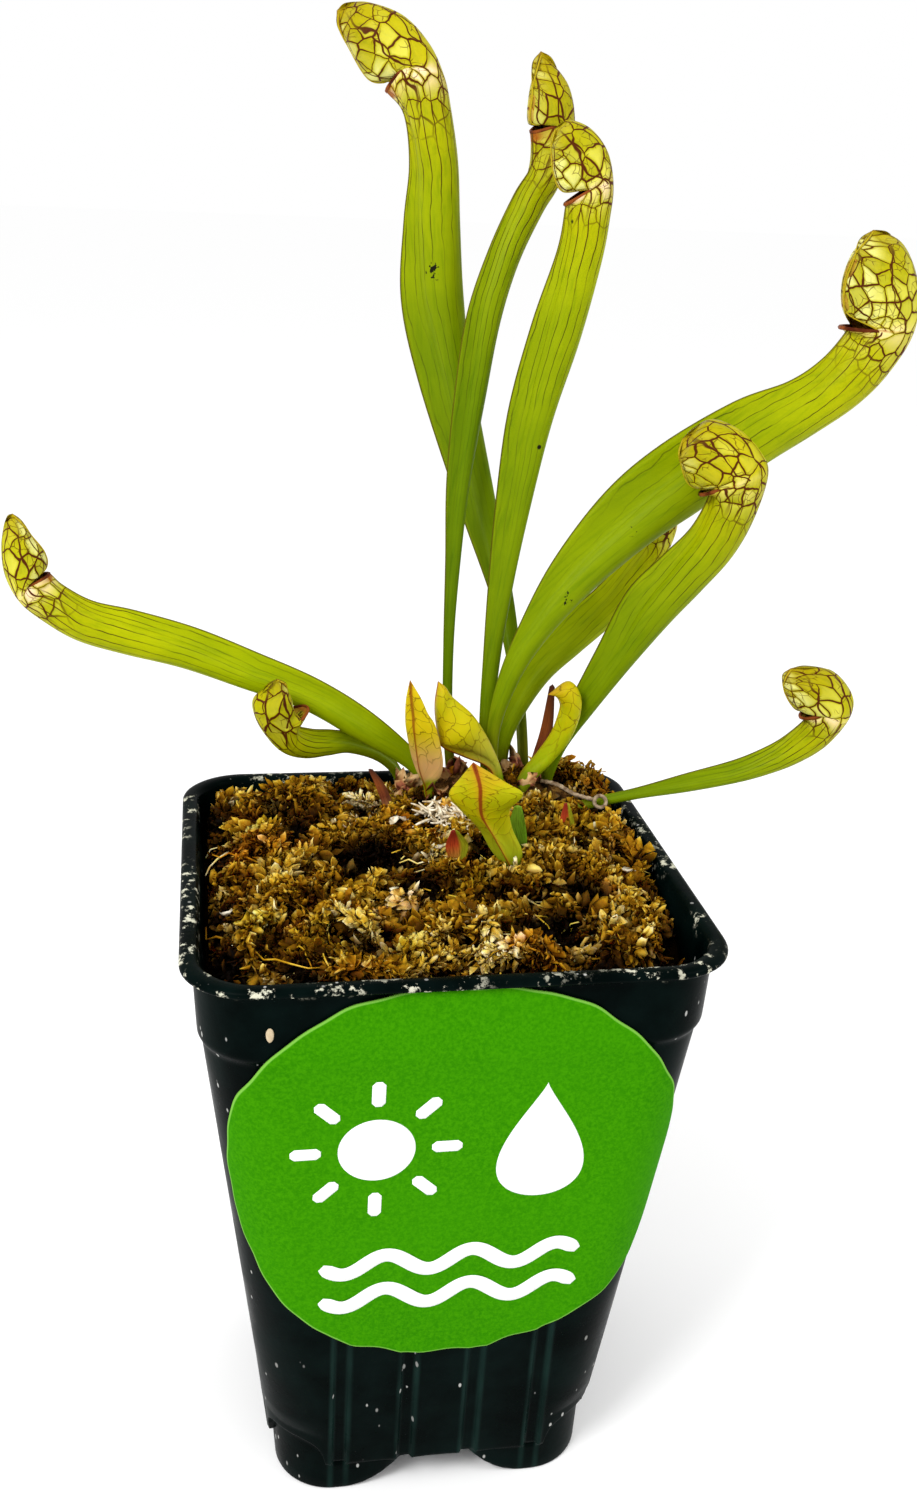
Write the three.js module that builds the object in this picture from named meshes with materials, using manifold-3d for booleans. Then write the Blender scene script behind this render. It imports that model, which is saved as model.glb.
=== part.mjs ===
// Scarlet belle pitcher plant in a deep square nursery pot.
// Millimetres, +Z up. The origin is the middle of the pot's base, on the surface that it stands on.
// +X is to the right and -Y faces the viewer, where the round label is.
import * as THREE from 'three';
import { mergeVertices } from 'three/addons/utils/BufferGeometryUtils.js';
import Module from 'manifold-3d';

const wasm = await Module();
wasm.setup();

// Pot: a deep square nursery pot, 92 mm across its rim.
const POT_HEIGHT = 120;
const RIM_HALF = 46;
const RIM_CORNER = 12;
const RIM_LIP = 1.6;
const COLLAR_TOP_HALF = 44;
const COLLAR_BOTTOM_HALF = 43.4;
const COLLAR_BOTTOM = 105.5;
const BODY_TOP = 103.5;
const BODY_TOP_HALF = 42.6;
const BODY_CORNER = 11.5;
const BODY_BOTTOM = 7.5;
const BODY_BOTTOM_HALF = 31.8;
const FOOT_CORNER = 12.5;
const WALL = 1.5;
const FLOOR_TOP = 9.5;
const CORNER_STEPS = 5;

// Fluting, feet and drain holes of the pot.
const GROOVE_PLACES = [-18.8, -6.2, 6.2, 18.8];
const GROOVE_WIDTH = 2.6;
const GROOVE_DEPTH = 0.8;
const GROOVE_TOP = 78;
const GROOVE_DRAFT = 0.4;
const FOOT_INSET = 0.9;
const FOOT_GAP_HALF = 6;
const FOOT_FLAT_AT = 14;
const FOOT_SOLE_DRAFT = 1.6;
const FOOT_CHAMFER = 1.4;
const NOTCH_TOP = 14;
const NOTCH_HALF = 7.5;
const NOTCH_ROUND = 3;
const DRAIN_RADIUS = 3.5;
const DRAIN_AT = 19;
const BOSS_RADIUS = 9;
const NUB_RADIUS = 3.6;
const NUB_AT = 25.5;
const NUB_BOTTOM = 0.8;

// Label: an 81 mm round sticker that follows the collar and the wall under it. Its sides wrap round
// the pot's corners, so seen from the front it is a little narrower than it is tall.
const LABEL_RADIUS = 40.6;
const LABEL_HALF_WIDTH = 38.6;
const LABEL_MIDDLE = 77.5;
const LABEL_THICKNESS = 0.6;
const LABEL_SIDES = 44;

// Growing medium: long-fibre moss, mounded a little above the rim at the back right.
const MOSS_EDGE_HALF = 42.4;
const MOSS_LEVEL = 117.5;
const MOSS_MOUND = 6.2;
const MOUND_AT = [22, 20];
const MOUND_SPREAD = 27;
const TUFT_COUNT = 120;
const TUFT_LENGTH = [5, 9.5];
const TUFT_ROOT = [0.9, 1.5];

// Clearances and blade thickness.
const GAP = 0.3;
const STEM_GAP = 0.35;
const BLADE = 0.7;
const WELD = 0.004;

// Each pitcher rises in its own upright plane, which starts at its foot and points along its heading.
// run: points along the middle of the leaf, [distance from the foot, height, full depth of the leaf].
// hood: pairs on the crown and the brim, [crown distance, crown height, brim distance, brim height].
// tip: where crown and brim meet. pocket: [distance, height, radius along, radius across] of the mouth.
const PITCHERS = [
  {
    name: 'pitcher_1_tall_left',
    foot: [24, 40],
    heading: -20,
    run: [
      [2, 117, 2.4], [0.5, 133, 2.4], [-2.5, 150, 3.4], [-5.5, 161.5, 5], [-11.5, 180, 8],
      [-18.5, 203, 11], [-21.5, 217.5, 12.4], [-22, 231, 11], [-22, 241.5, 9.4], [-23.5, 250.5, 9],
    ],
    hood: [[-20.5, 256.5, -27.5, 257.5], [-23.5, 262, -30.5, 255.5], [-28.5, 266.5, -34.5, 255.5],
      [-35, 268.5, -38, 260]],
    tip: [-41, 267],
    girth: 5,
    pocket: [-31.5, 258, 6, 4.5],
  },
  {
    name: 'pitcher_2_tall_middle',
    foot: [7, 35.5],
    heading: 22,
    run: [
      [3, 118, 2.2], [1.2, 134.5, 2.2], [0.7, 152, 2.4], [1, 168.5, 3.5], [1.5, 184, 5.3],
      [3.3, 200, 6.9], [5.6, 214.5, 7.4], [9.4, 225.7, 6.9], [14.2, 235, 6.9], [17.5, 240, 6.8],
    ],
    hood: [[22.6, 245, 15, 245.2], [23.1, 250.6, 14.4, 249], [21.3, 256, 14.2, 254]],
    tip: [15.6, 261.2],
    girth: 4.4,
    pocket: [16.4, 249.7, 4.8, 3.2],
  },
  {
    name: 'pitcher_3_tall_right',
    foot: [14.5, 32],
    heading: -5,
    run: [
      [2, 120, 2.4], [1, 133.5, 2.8], [1.5, 149.5, 3.6], [2.5, 164, 5], [4, 179, 6.8],
      [6.5, 197, 8.8], [10.5, 213, 9.7], [14, 226.5, 8.6], [15, 234, 8.5],
    ],
    hood: [[19.4, 239, 12.6, 237.6], [18, 244.5, 10.4, 237.6], [14.8, 248.2, 8.6, 240],
      [11, 249.6, 7.8, 244]],
    tip: [8.2, 248],
    girth: 4.6,
    pocket: [11.8, 241.5, 4.4, 3.8],
  },
  {
    name: 'pitcher_4_big_right',
    foot: [18, 28],
    heading: 5,
    run: [
      [-1, 121, 2.2], [-1.8, 134, 2.6], [0.5, 145, 4.2], [5, 155, 6.4], [12.5, 166.5, 10.4],
      [23, 178, 14.2], [33.5, 186, 15.8], [47, 194.5, 14.4], [57.5, 199.5, 12], [65, 204.5, 12],
      [70, 210, 12.6],
    ],
    hood: [[79, 213.5, 67.5, 214.4], [79.6, 220.5, 65, 217.8], [77.6, 226.5, 64, 222.8],
      [74.2, 231, 65.2, 227.8]],
    tip: [68.5, 233],
    girth: 6.6,
    pocket: [67.5, 218.5, 6.4, 5.4],
  },
  {
    name: 'pitcher_5_right_front',
    foot: [29, 29],
    heading: -20,
    run: [
      [-1.5, 119, 2.2], [-1, 123.5, 2.6], [1, 131.5, 3.9], [5.5, 140.5, 5.5], [11, 151, 7.8],
      [17, 162, 10.6], [23, 169.5, 10.3], [28, 176, 9.8], [31, 183, 9.8],
    ],
    hood: [[37.2, 189.5, 27.6, 186], [35.4, 193.6, 25, 186], [31, 197.5, 22.6, 186.8],
      [25.8, 199, 21, 190]],
    tip: [20.6, 195],
    girth: 6,
    pocket: [26.5, 189.5, 5.4, 4.6],
  },
  {
    name: 'pitcher_6_back_right',
    foot: [20, 35],
    heading: 15,
    run: [
      [0.5, 119.5, 2.2], [-0.5, 128, 3.4], [1.5, 135.5, 4.8], [6.5, 144.5, 7], [13.5, 151.5, 9],
      [21.5, 157.5, 8.8], [28, 164, 8], [32, 168.5, 6.6],
    ],
    hood: [[37, 173.5, 29, 172.6], [36, 178.5, 30, 175.6]],
    tip: [31.5, 180.5],
    girth: 3.8,
    pocket: [31, 174.5, 3.4, 3],
  },
  {
    name: 'pitcher_7_low_right',
    foot: [33, 23],
    heading: -9,
    run: [
      [-3, 119, 2.2], [5, 121.4, 2.3], [13, 123.6, 2.6], [22.5, 126.2, 4.1], [32, 129, 5],
      [38, 131.5, 5.7], [42.7, 134.2, 6.4], [47, 138, 7.2],
    ],
    hood: [[53, 140.5, 46, 142], [54, 144.5, 44, 142.4], [52.6, 147.8, 42, 143.4],
      [49, 151, 40, 146.6]],
    tip: [40.6, 151.2],
    girth: 4.8,
    pocket: [45.6, 144.6, 4.6, 3.6],
  },
  {
    name: 'pitcher_8_long_left',
    foot: [2.5, 31],
    heading: 185,
    run: [
      [-3, 117.5, 2.2], [-2.5, 121, 2.4], [2.5, 128, 3.9], [12.5, 136, 6.4], [23, 143, 6.9],
      [35, 148.5, 7.8], [46.5, 153.5, 8.4], [57.5, 157, 8.8], [65.5, 159.5, 8.2], [71, 163, 7.8],
    ],
    hood: [[77, 163.5, 73.2, 167.8], [79.2, 168.2, 72, 169.6], [79.6, 173, 72, 172.4],
      [79, 177, 74, 175.4]],
    tip: [77.2, 179.8],
    girth: 3.9,
    pocket: [72.8, 170.6, 3.8, 3],
  },
  {
    name: 'pitcher_9_small_left',
    foot: [-4, 38],
    heading: 214,
    run: [
      [-4, 115.5, 2.2], [-3.2, 121.3, 2.4], [1.8, 126.8, 3], [9.5, 131.2, 4.3], [15.4, 132.7, 5.4],
      [21, 133.8, 6.1], [25.7, 136.1, 6.2],
    ],
    hood: [[31.2, 138.2, 24.9, 139.4], [33, 142, 25, 142], [33.2, 145.2, 25.6, 145]],
    tip: [28.2, 148.6],
    girth: 3.7,
    pocket: [25.4, 141.4, 3.2, 2.6],
  },
];

// Young pitchers round the crown. They are still shut, so they have no pocket. Two of them face the
// viewer: their points also give the half width of the leaf, and how far it leans to its right side.
const YOUNG_PITCHERS = [
  {
    name: 'young_pitcher_left',
    foot: [4.7, 27.3],
    heading: 50,
    run: [
      [-2, 119, 2, 0.9], [-2.9, 124.5, 2.4, 1.2], [-3.5, 127, 3.6, 2.8], [-4.4, 130, 4.8, 3.6],
      [-5.4, 134, 5.2, 3.6], [-6.7, 138.5, 4.8, 3.2],
    ],
    hood: [[-6.8, 142, -9.4, 141.5, 2.5], [-8.4, 145.2, -10.2, 145, 1.6]],
    tip: [-10.8, 149],
  },
  {
    name: 'young_pitcher_middle',
    foot: [15, 25],
    heading: 0,
    run: [[3, 121, 2], [2.2, 126, 2], [0.6, 129.4, 3], [-2.9, 132.9, 6.4], [-6.6, 136.2, 9]],
    hood: [[-7.8, 143.4, -10.6, 135.6], [-9.2, 145.4, -11.4, 141.2]],
    tip: [-10.9, 146.6],
    girth: 2.4,
  },
  {
    name: 'young_pitcher_front',
    foot: [15, -4.5],
    heading: 75,
    run: [
      [-0.3, 117.5, 1.8, 1], [-0.5, 120.5, 2.2, 1.8, -0.6], [-1.2, 123.5, 3.6, 3, -1.7],
      [-2, 128, 4.8, 3.2, -3.8], [-3, 132.5, 5.4, 4.6, -6],
    ],
    hood: [[-2.8, 136, -6.6, 135.4, 5.9, -6.4], [-3.9, 139.4, -6.9, 138.6, 3.8, -6.6]],
    tip: [-6.2, 142.6, -8],
  },
  {
    name: 'young_pitcher_hooked',
    foot: [22, 25],
    heading: -6,
    run: [[-2, 120, 2], [1.3, 126.3, 3.4], [4.5, 130.5, 3.9], [7.4, 135.1, 4.3], [8.9, 140, 4.5]],
    hood: [[10.9, 143.8, 6.6, 142.4], [8.4, 146.6, 5.8, 143.4]],
    tip: [4.4, 143.8],
    girth: 2.2,
  },
];

// Small blades: a new leaf, two buds, two dead leaf bases. Each is [x, y, z, half width] along it.
const BLADES = [
  {
    name: 'new_leaf',
    colour: 0x7fa32a,
    facing: 80,
    path: [[16.8, -1.8, 117.5, 0.9], [16.5, -2, 123.8, 1.2], [15.7, -2, 127.6, 1.5],
      [15.6, -2, 131.2, 0.7]],
  },
  {
    name: 'bud_right',
    colour: 0xb8742e,
    facing: 90,
    path: [[27.4, 5.5, 117, 0.9], [27.2, 5, 121, 1.3], [26.8, 4.8, 125, 1.4], [26.5, 4.6, 128.6, 0.5]],
  },
  {
    name: 'bud_front',
    colour: 0xc4632c,
    facing: 100,
    path: [[4.6, -1, 117, 1], [4.6, -1.6, 121, 1.7], [4.3, -2.2, 124, 2.2], [3.7, -2.8, 127, 0.7]],
  },
  {
    name: 'dead_leaf_right',
    colour: 0x6b4226,
    facing: 60,
    path: [[26.6, 34, 119, 1], [26.6, 33.4, 125, 1.1], [28.4, 32.6, 133, 1.3], [28.8, 31.6, 143, 0.6]],
  },
  {
    name: 'dead_leaf_left',
    colour: 0x70492b,
    facing: 120,
    path: [[-4.5, 21.5, 117, 1.1], [-5.6, 21.8, 121.5, 1.2], [-7.2, 22, 126, 1.1],
      [-9.2, 22.2, 129.5, 0.5]],
  },
];

// Dry twig with a ring at its end, lying on the moss.
const TWIG_FROM = [26.4, 26.6, 124.4];
const TWIG_TO = [36.2, 20.4, 122.5];
const TWIG_RADIUS = 0.5;
const TWIG_RING_RADIUS = 1.2;

// Rhizome: a short creeping stem that all the leaves rise from, with a few roots.
// RHIZOME: [x, y, z, radius] along it. ROOTS: [x, y] where each starts, then [x, y, z] of its end.
const RHIZOME = [
  [-4, 32, 118, 3], [3, 31, 119, 6], [12, 30, 119.4, 6.8],
  [21, 30, 119.4, 7.4], [29, 28, 119, 6], [34.5, 25, 118, 3],
];
const RHIZOME_SIDES = 12;
const RHIZOME_FLATNESS = 0.72;
const RHIZOME_END = 1.5;
const ROOTS = [[2, 30, -14, 18, 70], [10, 28, 4, 6, 58], [19, 30, 16, 30, 52], [26, 28, 32, 12, 64]];
const ROOT_START = 116;
const ROOT_RADIUS = [1.6, 0.7];

const rad = THREE.MathUtils.degToRad;
const lerp = THREE.MathUtils.lerp;

// Repeatable random numbers from a whole-number seed.
function seeded(seed) {
  let state = seed;
  return () => {
    state = (state + 0x6d2b79f5) | 0;
    let t = Math.imul(state ^ (state >>> 15), 1 | state);
    t = (t + Math.imul(t ^ (t >>> 7), 61 | t)) ^ t;
    return ((t ^ (t >>> 14)) >>> 0) / 4294967296;
  };
}

// A closed skin over rings of points. All rings have the same count and turn the same way,
// anticlockwise seen from the end that they run towards. The ends are closed to their middle points.
function skin(rings) {
  const count = rings[0].length;
  const points = rings.flat();
  const middle = (ring) => ring.reduce((sum, p) => sum.add(p), new THREE.Vector3()).divideScalar(count);
  points.push(middle(rings[0]), middle(rings[rings.length - 1]));
  const first = points.length - 2;
  const last = points.length - 1;
  const faces = [];
  for (let row = 0; row < rings.length - 1; row += 1) {
    for (let k = 0; k < count; k += 1) {
      const a = row * count + k;
      const b = row * count + ((k + 1) % count);
      faces.push(a, b, b + count, a, b + count, a + count);
    }
  }
  const top = (rings.length - 1) * count;
  for (let k = 0; k < count; k += 1) {
    const next = (k + 1) % count;
    faces.push(next, k, first);
    faces.push(top + k, top + next, last);
  }
  const geometry = new THREE.BufferGeometry();
  const places = points.flatMap((p) => p.toArray());
  geometry.setAttribute('position', new THREE.Float32BufferAttribute(places, 3));
  geometry.setIndex(faces);
  return geometry;
}

function solid(geometry) {
  const bare = geometry.clone();
  bare.deleteAttribute('normal');
  bare.deleteAttribute('uv');
  const merged = mergeVertices(bare, 1e-5);
  return new wasm.Manifold(new wasm.Mesh({
    numProp: 3,
    vertProperties: new Float32Array(merged.attributes.position.array),
    triVerts: new Uint32Array(merged.index.array),
  }));
}

function largest(body) {
  return body.decompose().sort((a, b) => b.volume() - a.volume())[0];
}

// Joins points closer than WELD and leaves out the slivers that this closes up.
function welded(geometry) {
  const joined = mergeVertices(geometry, WELD);
  const index = joined.index.array;
  const faces = new Map();
  for (let k = 0; k < index.length; k += 3) {
    const face = [index[k], index[k + 1], index[k + 2]];
    const key = [...face].sort((a, b) => a - b).join();
    if (new Set(face).size === 3) {
      if (faces.has(key)) {
        faces.delete(key);
      } else {
        faces.set(key, face);
      }
    }
  }
  joined.setIndex([...faces.values()].flat());
  return joined;
}

function part(name, body, look) {
  const data = body.getMesh();
  const raw = new THREE.BufferGeometry();
  raw.setAttribute('position', new THREE.Float32BufferAttribute(data.vertProperties, 3));
  raw.setIndex(Array.from(data.triVerts));
  const geometry = welded(raw);
  geometry.computeVertexNormals();
  const mesh = new THREE.Mesh(geometry, new THREE.MeshStandardMaterial(look));
  mesh.name = name;
  return mesh;
}

// Rounded square, anticlockwise from above, as a ring of points at one height.
function roundedSquare(height, half, corner) {
  const ring = [];
  for (let quarter = 0; quarter < 4; quarter += 1) {
    for (let step = 0; step <= CORNER_STEPS; step += 1) {
      const angle = rad(90 * (quarter + step / CORNER_STEPS));
      const cx = (quarter === 0 || quarter === 3 ? 1 : -1) * (half - corner);
      const cy = (quarter < 2 ? 1 : -1) * (half - corner);
      ring.push(new THREE.Vector3(cx + corner * Math.cos(angle), cy + corner * Math.sin(angle), height));
    }
  }
  return ring;
}

// Outer half width and corner radius of the tapering wall at a height.
function wallAt(height) {
  const t = (height - BODY_BOTTOM) / (BODY_TOP - BODY_BOTTOM);
  return [lerp(BODY_BOTTOM_HALF, BODY_TOP_HALF, t), lerp(FOOT_CORNER, BODY_CORNER, t)];
}

function insetWall(height, inset) {
  const [half, corner] = wallAt(height);
  return roundedSquare(height, half - inset, corner - inset);
}

function cylinder(radius, from, to, x, y, sides) {
  const geometry = new THREE.CylinderGeometry(radius, radius, to - from, sides);
  geometry.rotateX(Math.PI / 2);
  geometry.translate(x, y, (from + to) / 2);
  return solid(geometry);
}

// The pot: lip, collar, tapering wall with fluting, feet, base and drain holes.
function makePot() {
  const lipUnder = POT_HEIGHT - RIM_LIP;
  const outside = solid(skin([
    roundedSquare(BODY_BOTTOM, BODY_BOTTOM_HALF, FOOT_CORNER),
    roundedSquare(BODY_TOP, BODY_TOP_HALF, BODY_CORNER),
    roundedSquare(COLLAR_BOTTOM, COLLAR_BOTTOM_HALF, BODY_CORNER),
    roundedSquare(lipUnder, COLLAR_TOP_HALF, BODY_CORNER),
    roundedSquare(lipUnder, RIM_HALF, RIM_CORNER),
    roundedSquare(POT_HEIGHT, RIM_HALF, RIM_CORNER),
  ]));
  const inside = solid(skin([
    insetWall(FLOOR_TOP, WALL),
    insetWall(BODY_TOP, WALL),
    roundedSquare(POT_HEIGHT + 1, COLLAR_TOP_HALF - WALL + 1, BODY_CORNER - WALL + 1),
  ]));
  let pot = outside.subtract(inside);

  const notchShape = new THREE.Shape();
  notchShape.moveTo(-NOTCH_HALF, 0);
  notchShape.lineTo(NOTCH_HALF, 0);
  notchShape.lineTo(NOTCH_HALF, NOTCH_TOP - NOTCH_ROUND);
  notchShape.quadraticCurveTo(NOTCH_HALF, NOTCH_TOP, NOTCH_HALF - NOTCH_ROUND, NOTCH_TOP);
  notchShape.lineTo(NOTCH_ROUND - NOTCH_HALF, NOTCH_TOP);
  notchShape.quadraticCurveTo(-NOTCH_HALF, NOTCH_TOP, -NOTCH_HALF, NOTCH_TOP - NOTCH_ROUND);
  const core = solid(skin([
    roundedSquare(-1, BODY_BOTTOM_HALF - FOOT_INSET - 1, FOOT_CORNER - FOOT_INSET),
    insetWall(NOTCH_TOP + 2, FOOT_INSET),
  ]));
  for (let quarter = 0; quarter < 4; quarter += 1) {
    const cut = new THREE.ExtrudeGeometry(notchShape, { depth: 20, bevelEnabled: false, curveSegments: 3 });
    cut.rotateX(Math.PI / 2);
    cut.translate(0, -25, 0);
    cut.rotateZ(rad(45 + 90 * quarter));
    pot = pot.subtract(solid(cut).subtract(core));
  }

  const skirtOut = solid(skin([
    roundedSquare(0, BODY_BOTTOM_HALF - FOOT_INSET - FOOT_SOLE_DRAFT, FOOT_CORNER - FOOT_CHAMFER),
    roundedSquare(FOOT_CHAMFER, BODY_BOTTOM_HALF - FOOT_INSET - 0.6, FOOT_CORNER - 0.8),
    insetWall(FLOOR_TOP - 0.5, FOOT_INSET),
  ]));
  const skirtIn = solid(skin([
    roundedSquare(-1, BODY_BOTTOM_HALF - FOOT_INSET - WALL - 2, FOOT_CORNER - 2.6),
    roundedSquare(BODY_BOTTOM + 0.5, BODY_BOTTOM_HALF - FOOT_INSET - WALL - 0.4, FOOT_CORNER - 2),
  ]));
  const archShape = new THREE.Shape();
  archShape.moveTo(-FOOT_FLAT_AT, -1);
  archShape.lineTo(FOOT_FLAT_AT, -1);
  archShape.lineTo(FOOT_FLAT_AT, 0);
  archShape.quadraticCurveTo(FOOT_GAP_HALF + 1, 1, FOOT_GAP_HALF, BODY_BOTTOM);
  archShape.lineTo(-FOOT_GAP_HALF, BODY_BOTTOM);
  archShape.quadraticCurveTo(-FOOT_GAP_HALF - 1, 1, -FOOT_FLAT_AT, 0);
  let feet = skirtOut.subtract(skirtIn);
  for (const turn of [0, 90]) {
    const arch = new THREE.ExtrudeGeometry(archShape, { depth: 80, bevelEnabled: false, curveSegments: 5 });
    arch.rotateX(Math.PI / 2);
    arch.translate(0, 40, 0);
    arch.rotateZ(rad(turn));
    feet = feet.subtract(solid(arch));
  }
  pot = pot.add(feet);

  pot = pot.add(cylinder(BOSS_RADIUS, 0, FLOOR_TOP - 0.5, 0, 0, 20));
  for (let quarter = 0; quarter < 4; quarter += 1) {
    const angle = rad(90 * quarter);
    const x = NUB_AT * Math.cos(angle);
    const y = NUB_AT * Math.sin(angle);
    pot = pot.add(cylinder(NUB_RADIUS, NUB_BOTTOM, FLOOR_TOP - 0.5, x, y, 12));
    const turn = rad(45 + 90 * quarter);
    const holeX = DRAIN_AT * Math.cos(turn);
    const holeY = DRAIN_AT * Math.sin(turn);
    pot = pot.subtract(cylinder(DRAIN_RADIUS, BODY_BOTTOM - 1, FLOOR_TOP + 1, holeX, holeY, 12));
  }

  const grooveOut = 3;
  const [topHalf] = wallAt(GROOVE_TOP);
  const [lowHalf] = wallAt(BODY_BOTTOM);
  const grooveRing = (height, depthIn, half) => [
    new THREE.Vector3(-GROOVE_WIDTH / 2, -half - grooveOut, height),
    new THREE.Vector3(GROOVE_WIDTH / 2, -half - grooveOut, height),
    new THREE.Vector3(GROOVE_WIDTH / 2 - GROOVE_DRAFT, -half + depthIn, height),
    new THREE.Vector3(GROOVE_DRAFT - GROOVE_WIDTH / 2, -half + depthIn, height),
  ];
  for (let quarter = 0; quarter < 4; quarter += 1) {
    for (const place of GROOVE_PLACES) {
      const cut = skin([
        grooveRing(BODY_BOTTOM - 1, GROOVE_DEPTH, lowHalf - 0.1),
        grooveRing(GROOVE_TOP, -0.1, topHalf),
      ]);
      cut.translate(place, 0, 0);
      cut.rotateZ(rad(90 * quarter));
      pot = pot.subtract(solid(cut));
    }
  }
  return largest(pot);
}

// The pot's outer form from base to lip, grown by a small amount all round.
function potForm(grow) {
  return solid(skin([
    roundedSquare(BODY_BOTTOM, BODY_BOTTOM_HALF + grow, FOOT_CORNER + grow),
    roundedSquare(BODY_TOP, BODY_TOP_HALF + grow, BODY_CORNER + grow),
    roundedSquare(COLLAR_BOTTOM, COLLAR_BOTTOM_HALF + grow, BODY_CORNER + grow),
    roundedSquare(POT_HEIGHT - RIM_LIP - GAP, COLLAR_TOP_HALF + grow, BODY_CORNER + grow),
  ]));
}

// The label: a round disc pressed to the front, between two grown copies of the pot's outer form.
function makeLabel() {
  const disc = new THREE.CylinderGeometry(LABEL_RADIUS, LABEL_RADIUS, 30, LABEL_SIDES);
  disc.scale(LABEL_HALF_WIDTH / LABEL_RADIUS, 1, 1);
  disc.translate(0, -RIM_HALF + 10, LABEL_MIDDLE);
  return solid(disc).intersect(potForm(GAP + LABEL_THICKNESS)).subtract(potForm(GAP));
}

// Closed leaf section: a round tube at the back and a thin wing reaching to the leaf's front edge.
// The tube takes up TUBE_SHARE of the leaf's depth at the foot, where the wing is widest and at the mouth.
const SECTION_ANGLES = [150, 100, 50, 0, -50, -100, -150];
const TUBE_SHARE = [0.9, 0.55, 0.92];
const WING_FROM = 0.45;
const WING_TO = 0.55;
const TUBE_ROUNDNESS = 0.44;
const THINNEST_HALF = 0.9;
const TIP_HALF = 0.7;
const TIP_SHRINK = 0.12;

function leafRing(back, front, tubeShare, halfWidth, sideways, grow) {
  const across = front.clone().sub(back);
  const depth = across.length();
  across.normalize();
  const radius = (tubeShare * depth) / 2;
  const middle = back.clone().addScaledVector(across, radius);
  const wide = halfWidth + grow;
  const deep = radius + grow;
  const ring = [];
  const place = (inDepth, toSide) => {
    ring.push(middle.clone().addScaledVector(across, inDepth).addScaledVector(sideways, toSide));
  };
  place(depth - radius + grow, BLADE / 2 + grow);
  for (const angle of SECTION_ANGLES) {
    place(-deep * Math.cos(rad(angle)), wide * Math.sin(rad(angle)));
  }
  place(depth - radius + grow, -BLADE / 2 - grow);
  return ring;
}

// Back line, front line, share of the tube and half width at every station of a pitcher.
function pitcherStations(spec) {
  const stations = [];
  const last = spec.run.length - 1;
  spec.run.forEach(([distance, height, depth, halfWidth, side = 0], index) => {
    const before = spec.run[Math.max(index - 1, 0)];
    const after = spec.run[Math.min(index + 1, last)];
    const along = new THREE.Vector2(after[0] - before[0], after[1] - before[1]).normalize();
    const inward = new THREE.Vector2(-along.y, along.x).multiplyScalar(depth / 2);
    const t = index / last;
    const narrowing = lerp(TUBE_SHARE[0], TUBE_SHARE[1], Math.min(t / WING_FROM, 1));
    const widening = (TUBE_SHARE[2] - TUBE_SHARE[1]) * Math.max((t - WING_TO) / (1 - WING_TO), 0);
    const share = narrowing + widening;
    const round = Math.max(TUBE_ROUNDNESS * share * depth, THINNEST_HALF);
    stations.push({
      back: [distance - inward.x, height - inward.y, side],
      front: [distance + inward.x, height + inward.y, side],
      share,
      width: halfWidth ?? lerp(round, Math.max(round, 0.8 * spec.girth), t ** 6),
    });
  });
  spec.hood.forEach(([backAt, backHeight, frontAt, frontHeight, halfWidth, side = 0], index) => {
    const t = (index + 1) / (spec.hood.length + 1);
    stations.push({
      back: [backAt, backHeight, side],
      front: [frontAt, frontHeight, side],
      share: 1,
      width: halfWidth ?? spec.girth * Math.sqrt(1 - (1.15 * t - 0.3) ** 2),
    });
  });
  const end = stations[stations.length - 1];
  const nearTip = (point) => point.map((value, k) => lerp(spec.tip[k] ?? 0, value, TIP_SHRINK));
  stations.push({ back: nearTip(end.back), front: nearTip(end.front), share: 1, width: TIP_HALF });
  return stations;
}

// Sweeps the leaf section through a pitcher's stations, two steps between each pair.
function pitcherSkin(spec, grow = 0, belowHeight = Infinity) {
  const stations = pitcherStations(spec);
  const heading = rad(spec.heading);
  const outward = new THREE.Vector3(Math.cos(heading), Math.sin(heading), 0);
  const sideways = new THREE.Vector3(Math.sin(heading), -Math.cos(heading), 0);
  const foot = new THREE.Vector3(spec.foot[0], spec.foot[1], 0);
  const inSpace = ([distance, height, side]) => {
    const point = foot.clone().addScaledVector(outward, distance).addScaledVector(sideways, side);
    return point.setZ(height);
  };
  const curve = (values) => new THREE.CatmullRomCurve3(values, false, 'catmullrom', 0.5);
  const backs = curve(stations.map((s) => inSpace(s.back)));
  const fronts = curve(stations.map((s) => inSpace(s.front)));
  const sizes = curve(stations.map((s) => new THREE.Vector3(s.share, s.width, 0)));
  const steps = 2 * (stations.length - 1);
  const rings = [];
  for (let step = 0; step <= steps; step += 1) {
    const t = step / steps;
    const back = backs.getPoint(t);
    const size = sizes.getPoint(t);
    if (back.z < belowHeight) {
      rings.push(leafRing(back, fronts.getPoint(t), Math.min(size.x, 1), size.y, sideways, grow));
    }
  }
  if (grow > 0) {
    const below = rings[0].map((p) => p.clone().add(new THREE.Vector3(0, 0, -grow)));
    rings.unshift(below);
  }
  return solid(skin(rings));
}

// The mouth: an egg-shaped pocket that opens through the brim side of the hood.
function mouthPocket(spec) {
  const [distance, height, along, across] = spec.pocket;
  const heading = rad(spec.heading);
  const crown = spec.hood[Math.floor(spec.hood.length / 2)];
  const lean = Math.atan2(crown[1] - crown[3], crown[0] - crown[2]);
  const egg = new THREE.SphereGeometry(1, 8, 6);
  egg.scale(along, across * 0.95, across);
  egg.rotateY(-lean);
  egg.translate(distance, 0, height);
  egg.rotateZ(heading);
  egg.translate(spec.foot[0], spec.foot[1], 0);
  return solid(egg);
}

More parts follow.
